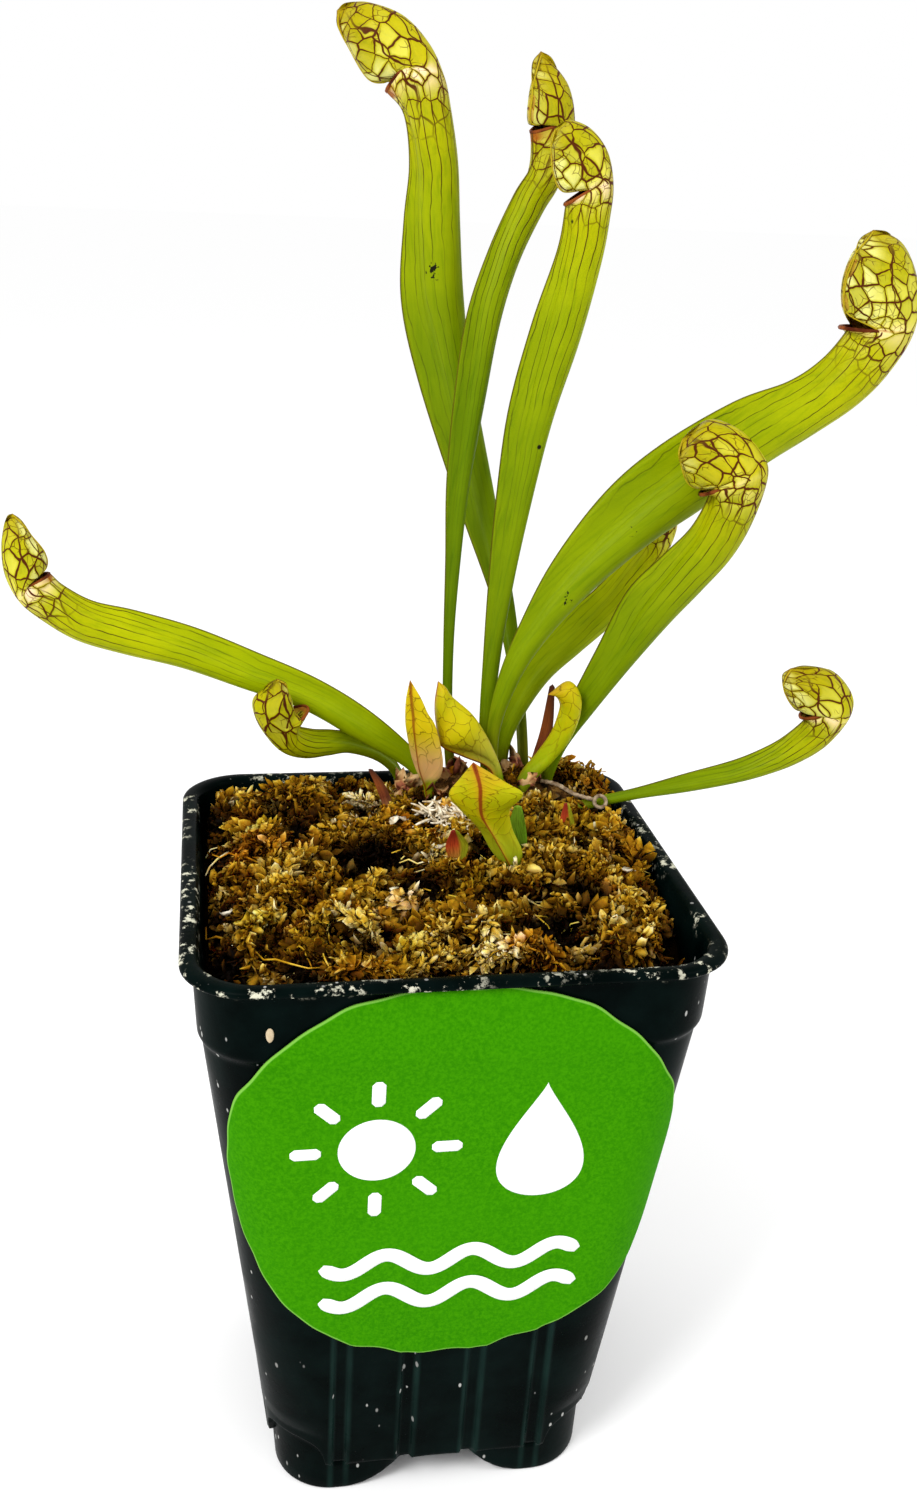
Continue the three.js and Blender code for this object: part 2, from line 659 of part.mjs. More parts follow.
// A small flat leaf: a lens section carried along a short path of [x, y, z, half width].
function bladeSkin(spec, grow = 0) {
  const facing = rad(spec.facing);
  const sideways = new THREE.Vector3(Math.sin(facing), -Math.cos(facing), 0);
  const outward = new THREE.Vector3(Math.cos(facing), Math.sin(facing), 0);
  const path = new THREE.CatmullRomCurve3(spec.path.map(([x, y, z]) => new THREE.Vector3(x, y, z)));
  const widths = new THREE.CatmullRomCurve3(spec.path.map((p, k) => new THREE.Vector3(k, p[3], 0)));
  const rings = [];
  const steps = 5;
  for (let step = 0; step <= steps; step += 1) {
    const t = step / steps;
    const centre = path.getPoint(t);
    const half = widths.getPoint(t).y;
    const ring = [];
    for (const [side, thick] of [[1, 0], [0.5, 1], [-0.5, 1], [-1, 0], [-0.5, -1], [0.5, -1]]) {
      ring.push(centre.clone()
        .addScaledVector(sideways, side * (half + grow))
        .addScaledVector(outward, thick * (0.45 + grow)));
    }
    rings.push(ring);
  }
  if (grow > 0) {
    rings.unshift(rings[0].map((p) => p.clone().add(new THREE.Vector3(0, 0, -grow))));
  }
  return solid(skin(rings));
}

// A round rod or cone between two points.
function rod(from, to, radiusFrom, radiusTo, sides) {
  const start = new THREE.Vector3(...from);
  const end = new THREE.Vector3(...to);
  const along = end.clone().sub(start).normalize();
  const side = new THREE.Vector3(0.3, 0.9, 0.2).cross(along).normalize();
  const other = along.clone().cross(side);
  const ringAt = (centre, radius) => Array.from({ length: sides }, (unused, k) => {
    const angle = (2 * Math.PI * k) / sides;
    return centre.clone()
      .addScaledVector(side, radius * Math.cos(angle))
      .addScaledVector(other, radius * Math.sin(angle));
  });
  return solid(skin([ringAt(start, radiusFrom), ringAt(end, radiusTo)]));
}

// The twig: a thin rod along the moss that ends in a small ring.
function makeTwig(grow = 0) {
  const twig = rod(TWIG_FROM, TWIG_TO, TWIG_RADIUS + grow, TWIG_RADIUS + grow, 6);
  const ring = new THREE.TorusGeometry(TWIG_RING_RADIUS, TWIG_RADIUS + grow, 6, 10);
  ring.rotateX(rad(60));
  ring.translate(TWIG_TO[0] + TWIG_RING_RADIUS, TWIG_TO[1] - 0.6, TWIG_TO[2] - 0.2);
  return twig.add(solid(ring));
}

// The rhizome lies along X; its rings stand upright across it.
function makeRhizome(grow = 0) {
  const sides = RHIZOME_SIDES;
  const rings = RHIZOME.map(([x, y, z, radius]) => Array.from({ length: sides }, (unused, k) => {
    const angle = (2 * Math.PI * k) / sides;
    const wide = (radius + grow) * Math.cos(angle);
    const high = RHIZOME_FLATNESS * (radius + grow) * Math.sin(angle);
    return new THREE.Vector3(x, y + wide, z + high);
  }));
  const first = RHIZOME[0][0] - RHIZOME_END - grow;
  const end = RHIZOME[RHIZOME.length - 1][0] + RHIZOME_END + grow;
  const small = (ring, x) => {
    const centre = ring.reduce((sum, p) => sum.add(p), new THREE.Vector3()).divideScalar(sides);
    return ring.map((p) => {
      const point = centre.clone().lerp(p, 0.4);
      point.x = x;
      return point;
    });
  };
  let body = solid(skin([small(rings[0], first), ...rings, small(rings[rings.length - 1], end)]));
  for (const [x, y, toX, toY, toZ] of ROOTS) {
    const thin = ROOT_RADIUS[1] + grow;
    body = body.add(rod([x, y, ROOT_START], [toX, toY, toZ - grow], ROOT_RADIUS[0] + grow, thin, 6));
  }
  return body;
}

// Height of the moss: level near the wall, mounded round the plant, broken up by short waves.
function mossHeight(x, y) {
  const away = ((x - MOUND_AT[0]) ** 2 + (y - MOUND_AT[1]) ** 2) / MOUND_SPREAD ** 2;
  const waves = 0.9 * Math.sin(0.31 * x + 1.3) * Math.cos(0.27 * y) + 0.6 * Math.sin(0.63 * x - 0.4 * y);
  const edge = Math.max(Math.abs(x), Math.abs(y)) / MOSS_EDGE_HALF;
  return MOSS_LEVEL + MOSS_MOUND * Math.exp(-away) + waves - 3 * edge ** 8;
}

function mossRing(scale) {
  return roundedSquare(0, MOSS_EDGE_HALF * scale, Math.max(10 * scale, 0.5)).map((p) => {
    return new THREE.Vector3(p.x, p.y, mossHeight(p.x, p.y));
  });
}

// One tuft: a three-sided leafy strand, bent over at half its length.
function tuft(random) {
  const reach = MOSS_EDGE_HALF - 3.4;
  const x = lerp(-reach, reach, random());
  const y = lerp(-reach, reach, random());
  const turn = 2 * Math.PI * random();
  const lean = lerp(0.25, 1.1, random());
  const length = lerp(TUFT_LENGTH[0], TUFT_LENGTH[1], random());
  const root = lerp(TUFT_ROOT[0], TUFT_ROOT[1], random());
  const spread = Math.max(Math.abs(x), Math.abs(y)) > reach - 4 ? 0.35 * lean : lean;
  const direction = new THREE.Vector3(Math.cos(turn) * spread, Math.sin(turn) * spread, 1).normalize();
  const foot = new THREE.Vector3(x, y, mossHeight(x, y) - 2);
  const knee = foot.clone().addScaledVector(direction, 0.55 * length);
  const nod = new THREE.Vector3(-0.5 + random(), -0.5 + random(), -0.35);
  const bent = direction.clone().add(nod).normalize();
  const end = knee.clone().addScaledVector(bent, 0.5 * length);
  const ringAt = (centre, radius, twist) => [0, 1, 2].map((k) => {
    const angle = turn + twist + (2 * Math.PI * k) / 3;
    const offset = new THREE.Vector3(Math.cos(angle), Math.sin(angle), 0);
    return centre.clone().addScaledVector(offset, radius);
  });
  return solid(skin([ringAt(foot, root, 0), ringAt(knee, 0.85 * root, 0.3), ringAt(end, 0.3, 0.6)]));
}

function makeMedium(cutters) {
  const scales = [0.9, 0.78, 0.65, 0.52, 0.39, 0.26, 0.13];
  let moss = solid(skin([
    insetWall(FLOOR_TOP + GAP, WALL + GAP),
    insetWall(BODY_TOP, WALL + GAP),
    mossRing(1).map((p) => new THREE.Vector3(p.x * 0.995, p.y * 0.995, p.z)),
    ...scales.map(mossRing),
  ]));
  const random = seeded(20261);
  const tufts = Array.from({ length: TUFT_COUNT }, () => tuft(random));
  moss = wasm.Manifold.union([moss, ...tufts]);
  moss = moss.subtract(wasm.Manifold.union(cutters));
  return largest(moss);
}

const plantLook = (colour) => ({ color: colour, roughness: 0.45, metalness: 0 });
const leafColours = [
  0x9aa832, 0x93a836, 0x94a72e, 0x8aa82f, 0x86a62c, 0x8fb032, 0x9cae38, 0x8da02f, 0x93a73a,
];
const youngColour = 0xb9b02f;

// Stems are cut out of the moss and the rhizome up to this height.
const everyPitcher = [...PITCHERS, ...YOUNG_PITCHERS];
const STEM_CUT_TOP = 140;
const stemCuts = everyPitcher.map((spec) => pitcherSkin(spec, STEM_GAP, STEM_CUT_TOP));
const bladeCuts = BLADES.map((spec) => bladeSkin(spec, STEM_GAP));

const group = new THREE.Group();
const potLook = { color: 0x0d1110, roughness: 0.38, metalness: 0 };
group.add(part('pot', makePot(), potLook));
group.add(part('label', makeLabel(), { color: 0x3f9a10, roughness: 0.5, metalness: 0 }));

const rhizome = largest(makeRhizome().subtract(wasm.Manifold.union([...stemCuts, ...bladeCuts])));
group.add(part('rhizome', rhizome, { color: 0x5c4326, roughness: 0.85, metalness: 0 }));

const medium = makeMedium([makeRhizome(GAP), makeTwig(STEM_GAP), ...stemCuts, ...bladeCuts]);
group.add(part('growing_medium', medium, { color: 0x8a6426, roughness: 0.95, metalness: 0 }));

PITCHERS.forEach((spec, index) => {
  const leaf = largest(pitcherSkin(spec).subtract(mouthPocket(spec)));
  group.add(part(spec.name, leaf, plantLook(leafColours[index])));
});
YOUNG_PITCHERS.forEach((spec) => {
  group.add(part(spec.name, pitcherSkin(spec), plantLook(youngColour)));
});
BLADES.forEach((spec) => {
  group.add(part(spec.name, bladeSkin(spec), { color: spec.colour, roughness: 0.6, metalness: 0 }));
});
group.add(part('dry_twig', makeTwig(), { color: 0x7d6647, roughness: 0.9, metalness: 0 }));

export default group;
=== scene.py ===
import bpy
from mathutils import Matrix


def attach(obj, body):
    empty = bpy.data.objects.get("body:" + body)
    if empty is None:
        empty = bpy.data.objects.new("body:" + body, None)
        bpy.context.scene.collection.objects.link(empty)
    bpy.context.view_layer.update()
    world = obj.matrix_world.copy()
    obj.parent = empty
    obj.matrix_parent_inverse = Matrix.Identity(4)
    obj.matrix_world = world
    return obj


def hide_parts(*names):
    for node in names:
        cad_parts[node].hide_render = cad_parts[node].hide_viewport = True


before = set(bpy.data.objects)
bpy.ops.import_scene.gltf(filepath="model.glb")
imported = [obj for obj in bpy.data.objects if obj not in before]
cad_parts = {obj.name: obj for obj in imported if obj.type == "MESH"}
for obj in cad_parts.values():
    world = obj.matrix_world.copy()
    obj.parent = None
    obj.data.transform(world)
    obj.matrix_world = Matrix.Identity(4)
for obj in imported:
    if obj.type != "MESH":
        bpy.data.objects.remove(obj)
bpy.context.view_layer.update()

import math

import bmesh
import bpy
import numpy as np
from mathutils import Matrix


# Camera. It stands a little left of the pot and above its rim, and looks down across the moss, so
# that the label shows in front and the tallest leaves reach the top of the picture.
MM = 0.001
CAMERA_AT = (-39.84, -251.55, 239.11)
CAMERA_TURN, CAMERA_DOWN, CAMERA_ROLL = math.radians(-9.97), math.radians(20.85), math.radians(2.37)
LENS_LENGTH, FILM_HEIGHT, NEAREST_SEEN = 36.0, 36.0, 10.0


def set_down(thing, right, up, back, place):
    """Adds a lamp or camera at a place in millimetres, with its own three axes."""
    matrix = np.eye(4)
    matrix[:3] = np.column_stack([right, up, back, np.array(place) * MM])
    item = bpy.data.objects.new(thing.name, thing)
    bpy.context.collection.objects.link(item)
    item.matrix_world = Matrix(matrix.tolist())
    return item


def place_camera():
    """The camera's axes come from its turn round Z, its tilt down and its roll."""
    lens = bpy.data.cameras.new("camera")
    lens.sensor_fit = "VERTICAL"
    lens.sensor_height = FILM_HEIGHT
    lens.lens = LENS_LENGTH
    lens.clip_start = NEAREST_SEEN * MM
    turn, down, roll = CAMERA_TURN, CAMERA_DOWN, CAMERA_ROLL
    ahead = np.array([-math.sin(turn) * math.cos(down), math.cos(turn) * math.cos(down), -math.sin(down)])
    level = np.array([math.cos(turn), math.sin(turn), 0.0])
    above = np.cross(level, ahead)
    right = math.cos(roll) * level + math.sin(roll) * above
    up = -math.sin(roll) * level + math.cos(roll) * above
    bpy.context.scene.camera = set_down(lens, right, up, -ahead, CAMERA_AT)


place_camera()


# Studio. A plain white floor of painted board lies under the pot. Light comes softly from all
# round, and two broad lamps above the front give the leaves and the moss their shape.
FLOOR_CORNERS = [[-6000, -3000, 0], [6000, -3000, 0], [6000, 9000, 0], [-6000, 9000, 0]]
FLOOR_COLOUR = (0.99, 0.99, 0.99)
SKY_COLOUR, SKY_LIGHT = (1.0, 1.0, 1.0, 1.0), 1.0
# Each lamp: place, side length and watts. Both point at the crown of the plant.
LAMPS = {"key_lamp": ((-420, -420, 640), 260, 4.2), "fill_lamp": ((480, -260, 520), 300, 1.0)}
LAMPS_AIM = (0, 0, 130)
# Points closer together than the seam are one. Small leaves and fibres need the fine one.
SEAM, FINE_SEAM = 0.002, 0.0005


def unit(vectors):
    """The same directions, each of length one."""
    return vectors / np.maximum(np.linalg.norm(vectors, axis=-1, keepdims=True), 1e-9)


def close_seams(piece, seam):
    """Merges the points that lie on each other and turns the faces of the closed skin outwards."""
    work = bmesh.new()
    work.from_mesh(piece.data)
    bmesh.ops.remove_doubles(work, verts=work.verts, dist=seam * MM)
    bmesh.ops.dissolve_degenerate(work, edges=work.edges, dist=seam * MM * 0.5)
    bmesh.ops.triangulate(work, faces=[f for f in work.faces if len(f.verts) > 3])
    bmesh.ops.recalc_face_normals(work, faces=work.faces)
    work.to_mesh(piece.data)
    work.free()


def make_piece(name, points, faces, look, patterns=None, marks=None, seam=SEAM):
    """A smooth mesh piece from points in millimetres and triangles. patterns are named flat places of
    the points, kept as UV maps, and marks are named values of the points. A closed skin has a seam."""
    mesh = bpy.data.meshes.new(name)
    mesh.vertices.add(len(points))
    mesh.vertices.foreach_set("co", (np.asarray(points) * MM).ravel())
    mesh.loops.add(faces.size)
    mesh.loops.foreach_set("vertex_index", faces.ravel().astype(np.int32))
    mesh.polygons.add(len(faces))
    mesh.polygons.foreach_set("loop_start", np.arange(0, faces.size, 3, dtype=np.int32))
    mesh.polygons.foreach_set("use_smooth", np.ones(len(faces), bool))
    for title, places in (patterns or {}).items():
        layer = mesh.uv_layers.new(name=title)
        layer.data.foreach_set("uv", np.asarray(places)[faces.ravel()].ravel())
    for title, values in (marks or {}).items():
        layer = mesh.attributes.new(title, "FLOAT", "POINT")
        layer.data.foreach_set("value", np.asarray(values, float).ravel())
    mesh.update()
    piece = bpy.data.objects.new(name, mesh)
    bpy.context.collection.objects.link(piece)
    mesh.materials.append(look.material)
    if seam:
        close_seams(piece, seam)
    return piece


class Value:
    """A number or a colour that a shader works out at each point. Arithmetic with it adds nodes."""

    def __init__(self, look, socket):
        self.look, self.socket = look, socket

    def other(self, output):
        """Another output of the same node."""
        return Value(self.look, self.socket.node.outputs[output])

    def maths(self, operation, second=0.0):
        """One step of arithmetic."""
        return self.look.put("Math", {0: self, 1: second}, operation=operation)

    def __add__(self, second):
        return self.maths("ADD", second)

    def __sub__(self, second):
        return self.maths("SUBTRACT", second)

    def __mul__(self, second):
        return self.maths("MULTIPLY", second)

    def __truediv__(self, second):
        return self.maths("DIVIDE", second)

    def __abs__(self):
        return self.maths("ABSOLUTE")

    def most(self, second):
        """The larger of two values."""
        return self.maths("MAXIMUM", second)

    def least(self, second):
        """The smaller of two values."""
        return self.maths("MINIMUM", second)

    def over(self, limit):
        """One where this is greater than a limit, and elsewhere zero."""
        return self.maths("GREATER_THAN", limit)

    def between(self, low, high, first=0.0, last=1.0):
        """Goes smoothly from one result to the other as this goes from low to high."""
        inputs = {0: self, 1: low, 2: high, 3: first, 4: last}
        return self.look.put("MapRange", inputs, interpolation_type="SMOOTHSTEP")

    def under(self, share, colour, how="MIX"):
        """This colour with a share of another colour over it."""
        return self.look.blend(share, self, colour, how)

    def ramp(self, stops):
        """A colour ramp from (place, red, green, blue) stops."""
        made = self.look.put("ValToRGB", {0: self})
        elements = made.socket.node.color_ramp.elements
        while len(elements) < len(stops):
            elements.new(0.5)
        for element, (place, *colour) in zip(elements, stops):
            element.position = place
            element.color = (*colour, 1.0)
        return made


class Look:
    """A material with its shader. Numbers that are the same all over go straight into the shader."""

    def __init__(self, name, roughness, specular):
        self.material = bpy.data.materials.new(name)
        self.material.use_nodes = True
        self.nodes = self.material.node_tree.nodes
        self.shader = self.nodes["Principled BSDF"]
        self.feed({"Roughness": roughness, "Specular IOR Level": specular})

    def feed(self, inputs, node=None):
        """Gives inputs of a node, or else of the shader: numbers, colours, or values to link."""
        for title, value in inputs.items():
            socket = (node or self.shader).inputs[title]
            if isinstance(value, Value):
                self.material.node_tree.links.new(value.socket, socket)
            elif socket.type == "RGBA":
                socket.default_value = (*value, 1.0)
            else:
                socket.default_value = value

    def put(self, kind, inputs=None, output=0, **settings):
        """One output of a new shader node."""
        node = self.nodes.new("ShaderNode" + kind)
        for title, value in settings.items():
            setattr(node, title, value)
        self.feed(inputs or {}, node)
        return Value(self, node.outputs[output])

    def place(self):
        """Where the point is on the object, in metres."""
        return self.put("TexCoord", output="Object")

    def mark(self, title):
        """A named value of the piece's points."""
        return self.put("Attribute", output="Fac", attribute_name=title)

    def blend(self, share, first, second, how="MIX"):
        """Two colours mixed by a share."""
        inputs = {0: share, 6: first, 7: second}
        return self.put("Mix", inputs, output=2, data_type="RGBA", blend_type=how)

    def noise(self, scale, detail=3.0, roughness=0.55, at=None):
        """Cloudy values round one half."""
        inputs = {"Vector": at or self.place(), "Scale": scale, "Detail": detail, "Roughness": roughness}
        return self.put("TexNoise", inputs)

    def specks(self, scale, chance, low, high, most=1.0, channel=0, at=None):
        """Round specks, one in each cell that is kept. They fade out as the distance from the cell's own
        point goes from low to high, and a cell is kept where its random colour is over the chance."""
        dots = self.put("TexVoronoi", {"Vector": at or self.place(), "Scale": scale, "Randomness": 1.0})
        rare = self.put("SeparateColor", {0: dots.other("Color")}, output=channel)
        return rare.over(chance) * dots.between(low, high, most, 0.0)

    def paint(self, colour, relief=None, strength=0.0, depth=0.0):
        """Gives the shader its colour, and small relief whose full height is in millimetres."""
        self.feed({"Base Color": colour})
        if relief:
            inputs = {"Height": relief, "Strength": strength, "Distance": depth * MM}
            self.feed({"Normal": self.put("Bump", inputs)})
        return self


def make_studio():
    """The floor, the even light of the sky and the two lamps."""
    look = Look("floor_paint", 0.9, 0.0).paint(FLOOR_COLOUR)
    floor = make_piece("floor", FLOOR_CORNERS, np.array([[0, 1, 2], [0, 2, 3]]), look, seam=None)
    sky = bpy.data.worlds.new("sky")
    sky.use_nodes = True
    sky.node_tree.nodes["Background"].inputs["Color"].default_value = SKY_COLOUR
    sky.node_tree.nodes["Background"].inputs["Strength"].default_value = SKY_LIGHT
    bpy.context.scene.world = sky
    bpy.context.scene.view_settings.view_transform = "Standard"
    for title, (place, size, watts) in LAMPS.items():
        lamp = bpy.data.lights.new(title, "AREA")
        lamp.size = size * MM
        lamp.energy = watts
        away = unit(np.subtract(place, LAMPS_AIM))
        side = unit(np.cross([0.0, 0.0, 1.0], away))
        set_down(lamp, side, np.cross(away, side), away, place)


make_studio()


# Pot. One moulding of black plastic, satin outside: a rolled lip over a straight collar, and four
# tapering walls with shallow flutes. It stands on four feet and has four drain holes in its base.
# Outside of the wall: half width and corner radius at each height, from the base to the lip.
WALL_HEIGHTS = [7.5, 103.5, 105.5, 118.4]
WALL_HALVES = [31.8, 42.6, 43.4, 44.0]
WALL_CORNERS = [12.5, 11.5, 11.5, 11.5]
# Inside from the floor up and over the lip down to the collar: [height, half width, corner radius].
LIP_PROFILE = [
    (9.5, 30.4, 11.0), (60, 36.1, 10.5), (103.5, 41.1, 10.0), (116, 42.5, 10.0), (118.8, 42.8, 10.1),
    (119.6, 43.1, 10.3), (119.95, 43.6, 10.6), (120, 44.3, 11.1), (120, 44.9, 11.5), (119.9, 45.4, 11.8),
    (119.6, 45.8, 12), (119.2, 46, 12), (118.8, 45.97, 12), (118.5, 45.75, 12), (118.4, 45.3, 11.8),
    (118.38, 44.7, 11.6), (118.2, 44.2, 11.5), (117.7, 44.0, 11.5)]
COLLAR_ROWS = np.linspace(116.5, 106.8, 5)
COLLAR_STEP = [(106.3, 43.43), (105.8, 43.36), (105.3, 43.18), (104.9, 42.95), (104.4, 42.74), (103.8, 42.63)]
BODY_ROWS = np.linspace(103, 17, 32)
FLUTES = np.array([-18.8, -6.2, 6.2, 18.8])
FLUTE_HALF, FLUTE_DEPTH, FLUTE_TOP, FLUTE_EDGE, FLUTE_FADE = 1.3, 0.8, 78.0, 0.2, 0.8
RIDGE_RISE, RIDGE_AWAY, RIDGE_SPREAD = 0.22, 0.35, 0.3
# A side is measured from its middle: flutes lie within SIDE_FLAT, and the corner's middle is SIDE_END.
SIDE_FLAT, SIDE_END = 20.8, 36.0
# Columns of points: these far from each flute, and elsewhere evenly, but not so near to a flute.
BY_FLUTE, CLEAR_OF_FLUTE = [-1.9, -1.6, -1.3, -1.0, -0.6, 0, 0.6, 1.0, 1.3, 1.6, 1.9], 2.4
BASE_HALF, BASE_HEIGHT, FLOOR_HEIGHT = 31.8, 7.5, 9.5
NOTCH_TOP, NOTCH_HALF, NOTCH_BEND = 14.0, 7.5, 2.6
ARCH_FROM, ARCH_TO, ARCH_BEND = 6.0, 18.0, 2.2
LEAST_FOOT, FOOT_TAPER = 0.9, 0.5
# Rows of the body down to the notches, as shares. The notch's edge and the sole's: [rise, how far in].
LOW_ROWS = (0.25, 0.5, 0.75, 0.95)
NOTCH_EDGE = ((0.2, 0.0), (0.05, 0.1), (0.0, 0.3))
SOLE_EDGE = ((0.25, 1.55), (0.05, 1.85), (0.0, 2.3), (0.0, 3.1))
UNDER_INSET, UNDER_ROWS, FLOOR_ROWS = 3.2, (0.3, 0.6, 0.85, 1.0), (0.35, 0.7)
# Turned profiles under the base: [radius, height].
BOSS_FOOT = 9.6
BOSS_PROFILE = [(9.2, 7.3), (9.0, 6.8), (9.0, 0.5), (8.8, 0.1), (8.4, 0.0)]
NUB_PROFILE, NUB_AT = [(3.6, 7.8), (3.6, 1.4), (3.3, 0.95), (2.8, 0.8)], 25.5
DRAIN_PROFILE, DRAIN_AT = [(3.5, 5.0), (3.5, 12.0)], 19.0
# Pale specks: scale, share of cells left out, size and brightness.
POT_SPECKS = ((430.0, 0.87, 0.1, 0.25), (800.0, 0.94, 0.15, 0.45))


def turns(count):
    """Even angles all the way round."""
    return np.linspace(0, 2 * math.pi, count, endpoint=False)


def side_places():
    """Places of the columns along one side: close together at the edges of the flutes, and even
    elsewhere. The last one, at the corner's middle, belongs to the next side."""
    near = (FLUTES[:, None] + BY_FLUTE).ravel()
    plain = np.linspace(-20, 20, 21)
    plain = plain[np.abs(plain[:, None] - FLUTES).min(axis=1) > CLEAR_OF_FLUTE]
    corner = np.linspace(SIDE_FLAT, SIDE_END, 17)
    return np.sort(np.concatenate([near, plain, corner, -corner]))[:-1]


def square_ring(half, corner, places):
    """Points round a rounded square, their outward directions, and how far along its side each is.
    Each side runs flat, then round half of the corner at each of its ends."""
    flat = half - corner
    reach = flat + corner * math.pi / 4
    size = np.abs(places)
    beyond = (size - SIDE_FLAT) / (SIDE_END - SIDE_FLAT)
    arc = np.where(size <= SIDE_FLAT, size, SIDE_FLAT + beyond * (reach - SIDE_FLAT))
    turned = np.maximum(arc - flat, 0) / corner
    out_x, out_y = np.sign(places) * np.sin(turned), -np.cos(turned)
    x = np.sign(places) * np.minimum(arc, flat) + corner * out_x
    y = corner * out_y - flat
    ring, outward = [np.concatenate([np.stack(side, axis=-1)
                                     for side in ((a, b), (-b, a), (-a, -b), (b, -a))])
                     for a, b in ((x, y), (out_x, out_y))]
    return ring, outward, np.tile(arc * np.sign(places), 4)


def flute_push(across, height):
    """How far flutes push the wall: a trough with steep sides and a low ridge along each edge, which
    grow shallower with height."""
    off = across[..., None] - FLUTES
    trough = 0.5 * (np.tanh((off + FLUTE_HALF) / FLUTE_EDGE) - np.tanh((off - FLUTE_HALF) / FLUTE_EDGE))
    ridge = np.exp(-((np.abs(off) - FLUTE_HALF - RIDGE_AWAY) / RIDGE_SPREAD) ** 2)
    fade = np.clip((FLUTE_TOP - height) / (FLUTE_TOP - BASE_HEIGHT), 0, 1) ** FLUTE_FADE
    return fade * (RIDGE_RISE * ridge.sum(axis=-1) - FLUTE_DEPTH * trough.sum(axis=-1))


def grid_faces(numbers):
    """Two triangles for each cell of a grid of point numbers that has all four of its points."""
    corners = [numbers[:-1, :-1], numbers[:-1, 1:], numbers[1:, 1:], numbers[1:, :-1]]
    whole = np.min(corners, axis=0) >= 0
    a, b, c, d = [corner[whole] for corner in corners]
    return np.concatenate([np.column_stack([a, b, c]), np.column_stack([a, c, d])])


def ring_stack(rings, first_pole, last_pole):
    """A closed skin over a stack of rings of points, which ends at a point beyond each end ring."""
    rows, count = rings.shape[:2]
    numbers = np.arange(rows * count).reshape(rows, count)
    numbers = np.column_stack([numbers, numbers[:, 0]])
    top = np.column_stack([numbers[0, 1:], numbers[0, :-1], np.full(count, rows * count)])
    end = np.column_stack([numbers[-1, :-1], numbers[-1, 1:], np.full(count, rows * count + 1)])
    points = np.concatenate([rings.reshape(-1, 3), [first_pole], [last_pole]])
    return points, np.concatenate([grid_faces(numbers), top, end])


def turned_shells(profile, sides, away, first_turn):
    """Four closed turned shapes on upright axes, evenly round the middle, from a [radius, height] profile."""
    radius, height = np.array(profile, float).T
    circle = np.stack([np.cos(turns(sides)), np.sin(turns(sides))], axis=-1)
    shells = []
    for turn in turns(4) + first_turn:
        centre = away * np.array([math.cos(turn), math.sin(turn)])
        flat = centre + radius[:, None, None] * circle
        level = np.broadcast_to(height[:, None, None], (len(radius), sides, 1))
        rings = np.concatenate([flat, level], axis=2)
        shells.append(ring_stack(rings, [*centre, height[0]], [*centre, height[-1]]))
    return shells


def joined(shells):
    """Several (points, faces) shells as one list of points and one of faces."""
    counts = np.cumsum([0] + [len(points) for points, faces in shells[:-1]])
    faces = [faces + count for (points, faces), count in zip(shells, counts)]
    return np.concatenate([points for points, _ in shells]), np.concatenate(faces)


def pot_rings():
    """Rings of the moulding from the middle of the floor, up the inside, over the lip and down to the
    feet and the boss under the base."""
    places = side_places()
    rings = []

    def add(height, half, corner, push=0.0, fluted=False):
        ring, outward, across = square_ring(half, corner, places)
        if fluted:
            push = flute_push(across, height)
        flat = ring + np.broadcast_to(push, len(ring))[:, None] * outward
        rings.append(np.column_stack([flat, np.broadcast_to(height, len(ring))]))

    def wall(height):
        return [np.interp(height, WALL_HEIGHTS, values) for values in (WALL_HALVES, WALL_CORNERS)]

    for row in LIP_PROFILE:
        add(*row)
    for height in COLLAR_ROWS:
        add(height, *wall(height))
    for height, half in COLLAR_STEP:
        add(height, half, WALL_CORNERS[1])
    for height in BODY_ROWS:
        add(height, *wall(height), fluted=True)
    base = (BASE_HALF, WALL_CORNERS[0])
    across = square_ring(*base, places)[2]
    reach = BASE_HALF - WALL_CORNERS[0] * (1 - math.pi / 4)
    to_corner = np.clip((reach - np.abs(across)) / NOTCH_HALF, 0, 1)
    notch = BASE_HEIGHT + (NOTCH_TOP - BASE_HEIGHT) * (1 - to_corner ** NOTCH_BEND) ** (1 / NOTCH_BEND)
    past_arch = np.clip((np.abs(across) - ARCH_FROM) / (ARCH_TO - ARCH_FROM), 0, 1)
    sole = np.minimum(BASE_HEIGHT * (1 - past_arch) ** ARCH_BEND, notch - LEAST_FOOT)
    flutes = flute_push(across, BASE_HEIGHT + 2)
    for share in LOW_ROWS:
        height = BODY_ROWS[-1] + (notch + 0.3 - BODY_ROWS[-1]) * share
        add(height, *base, wall(height)[0] - BASE_HALF + flutes)
    for rise, inset in NOTCH_EDGE:
        add(notch + rise, *base, wall(notch)[0] - BASE_HALF + flutes - inset)
    for share in np.linspace(0, 1, 6):
        add(notch - 0.05 + (sole + 0.7 - notch) * share, *base, -LEAST_FOOT - FOOT_TAPER * share)
    for rise, inset in SOLE_EDGE:
        add(sole + rise, *base, -inset)
    add(BASE_HEIGHT, *base, -UNDER_INSET)
    under = rings[-1][:, :2]
    way = unit(under)
    flats = [(under + (way * BOSS_FOOT - under) * share, BASE_HEIGHT) for share in UNDER_ROWS]
    for flat, height in flats + [(way * radius, height) for radius, height in BOSS_PROFILE]:
        rings.append(np.column_stack([flat, np.full(len(flat), height)]))
    return np.array([rings[0] * [share, share, 1] for share in FLOOR_ROWS] + rings)


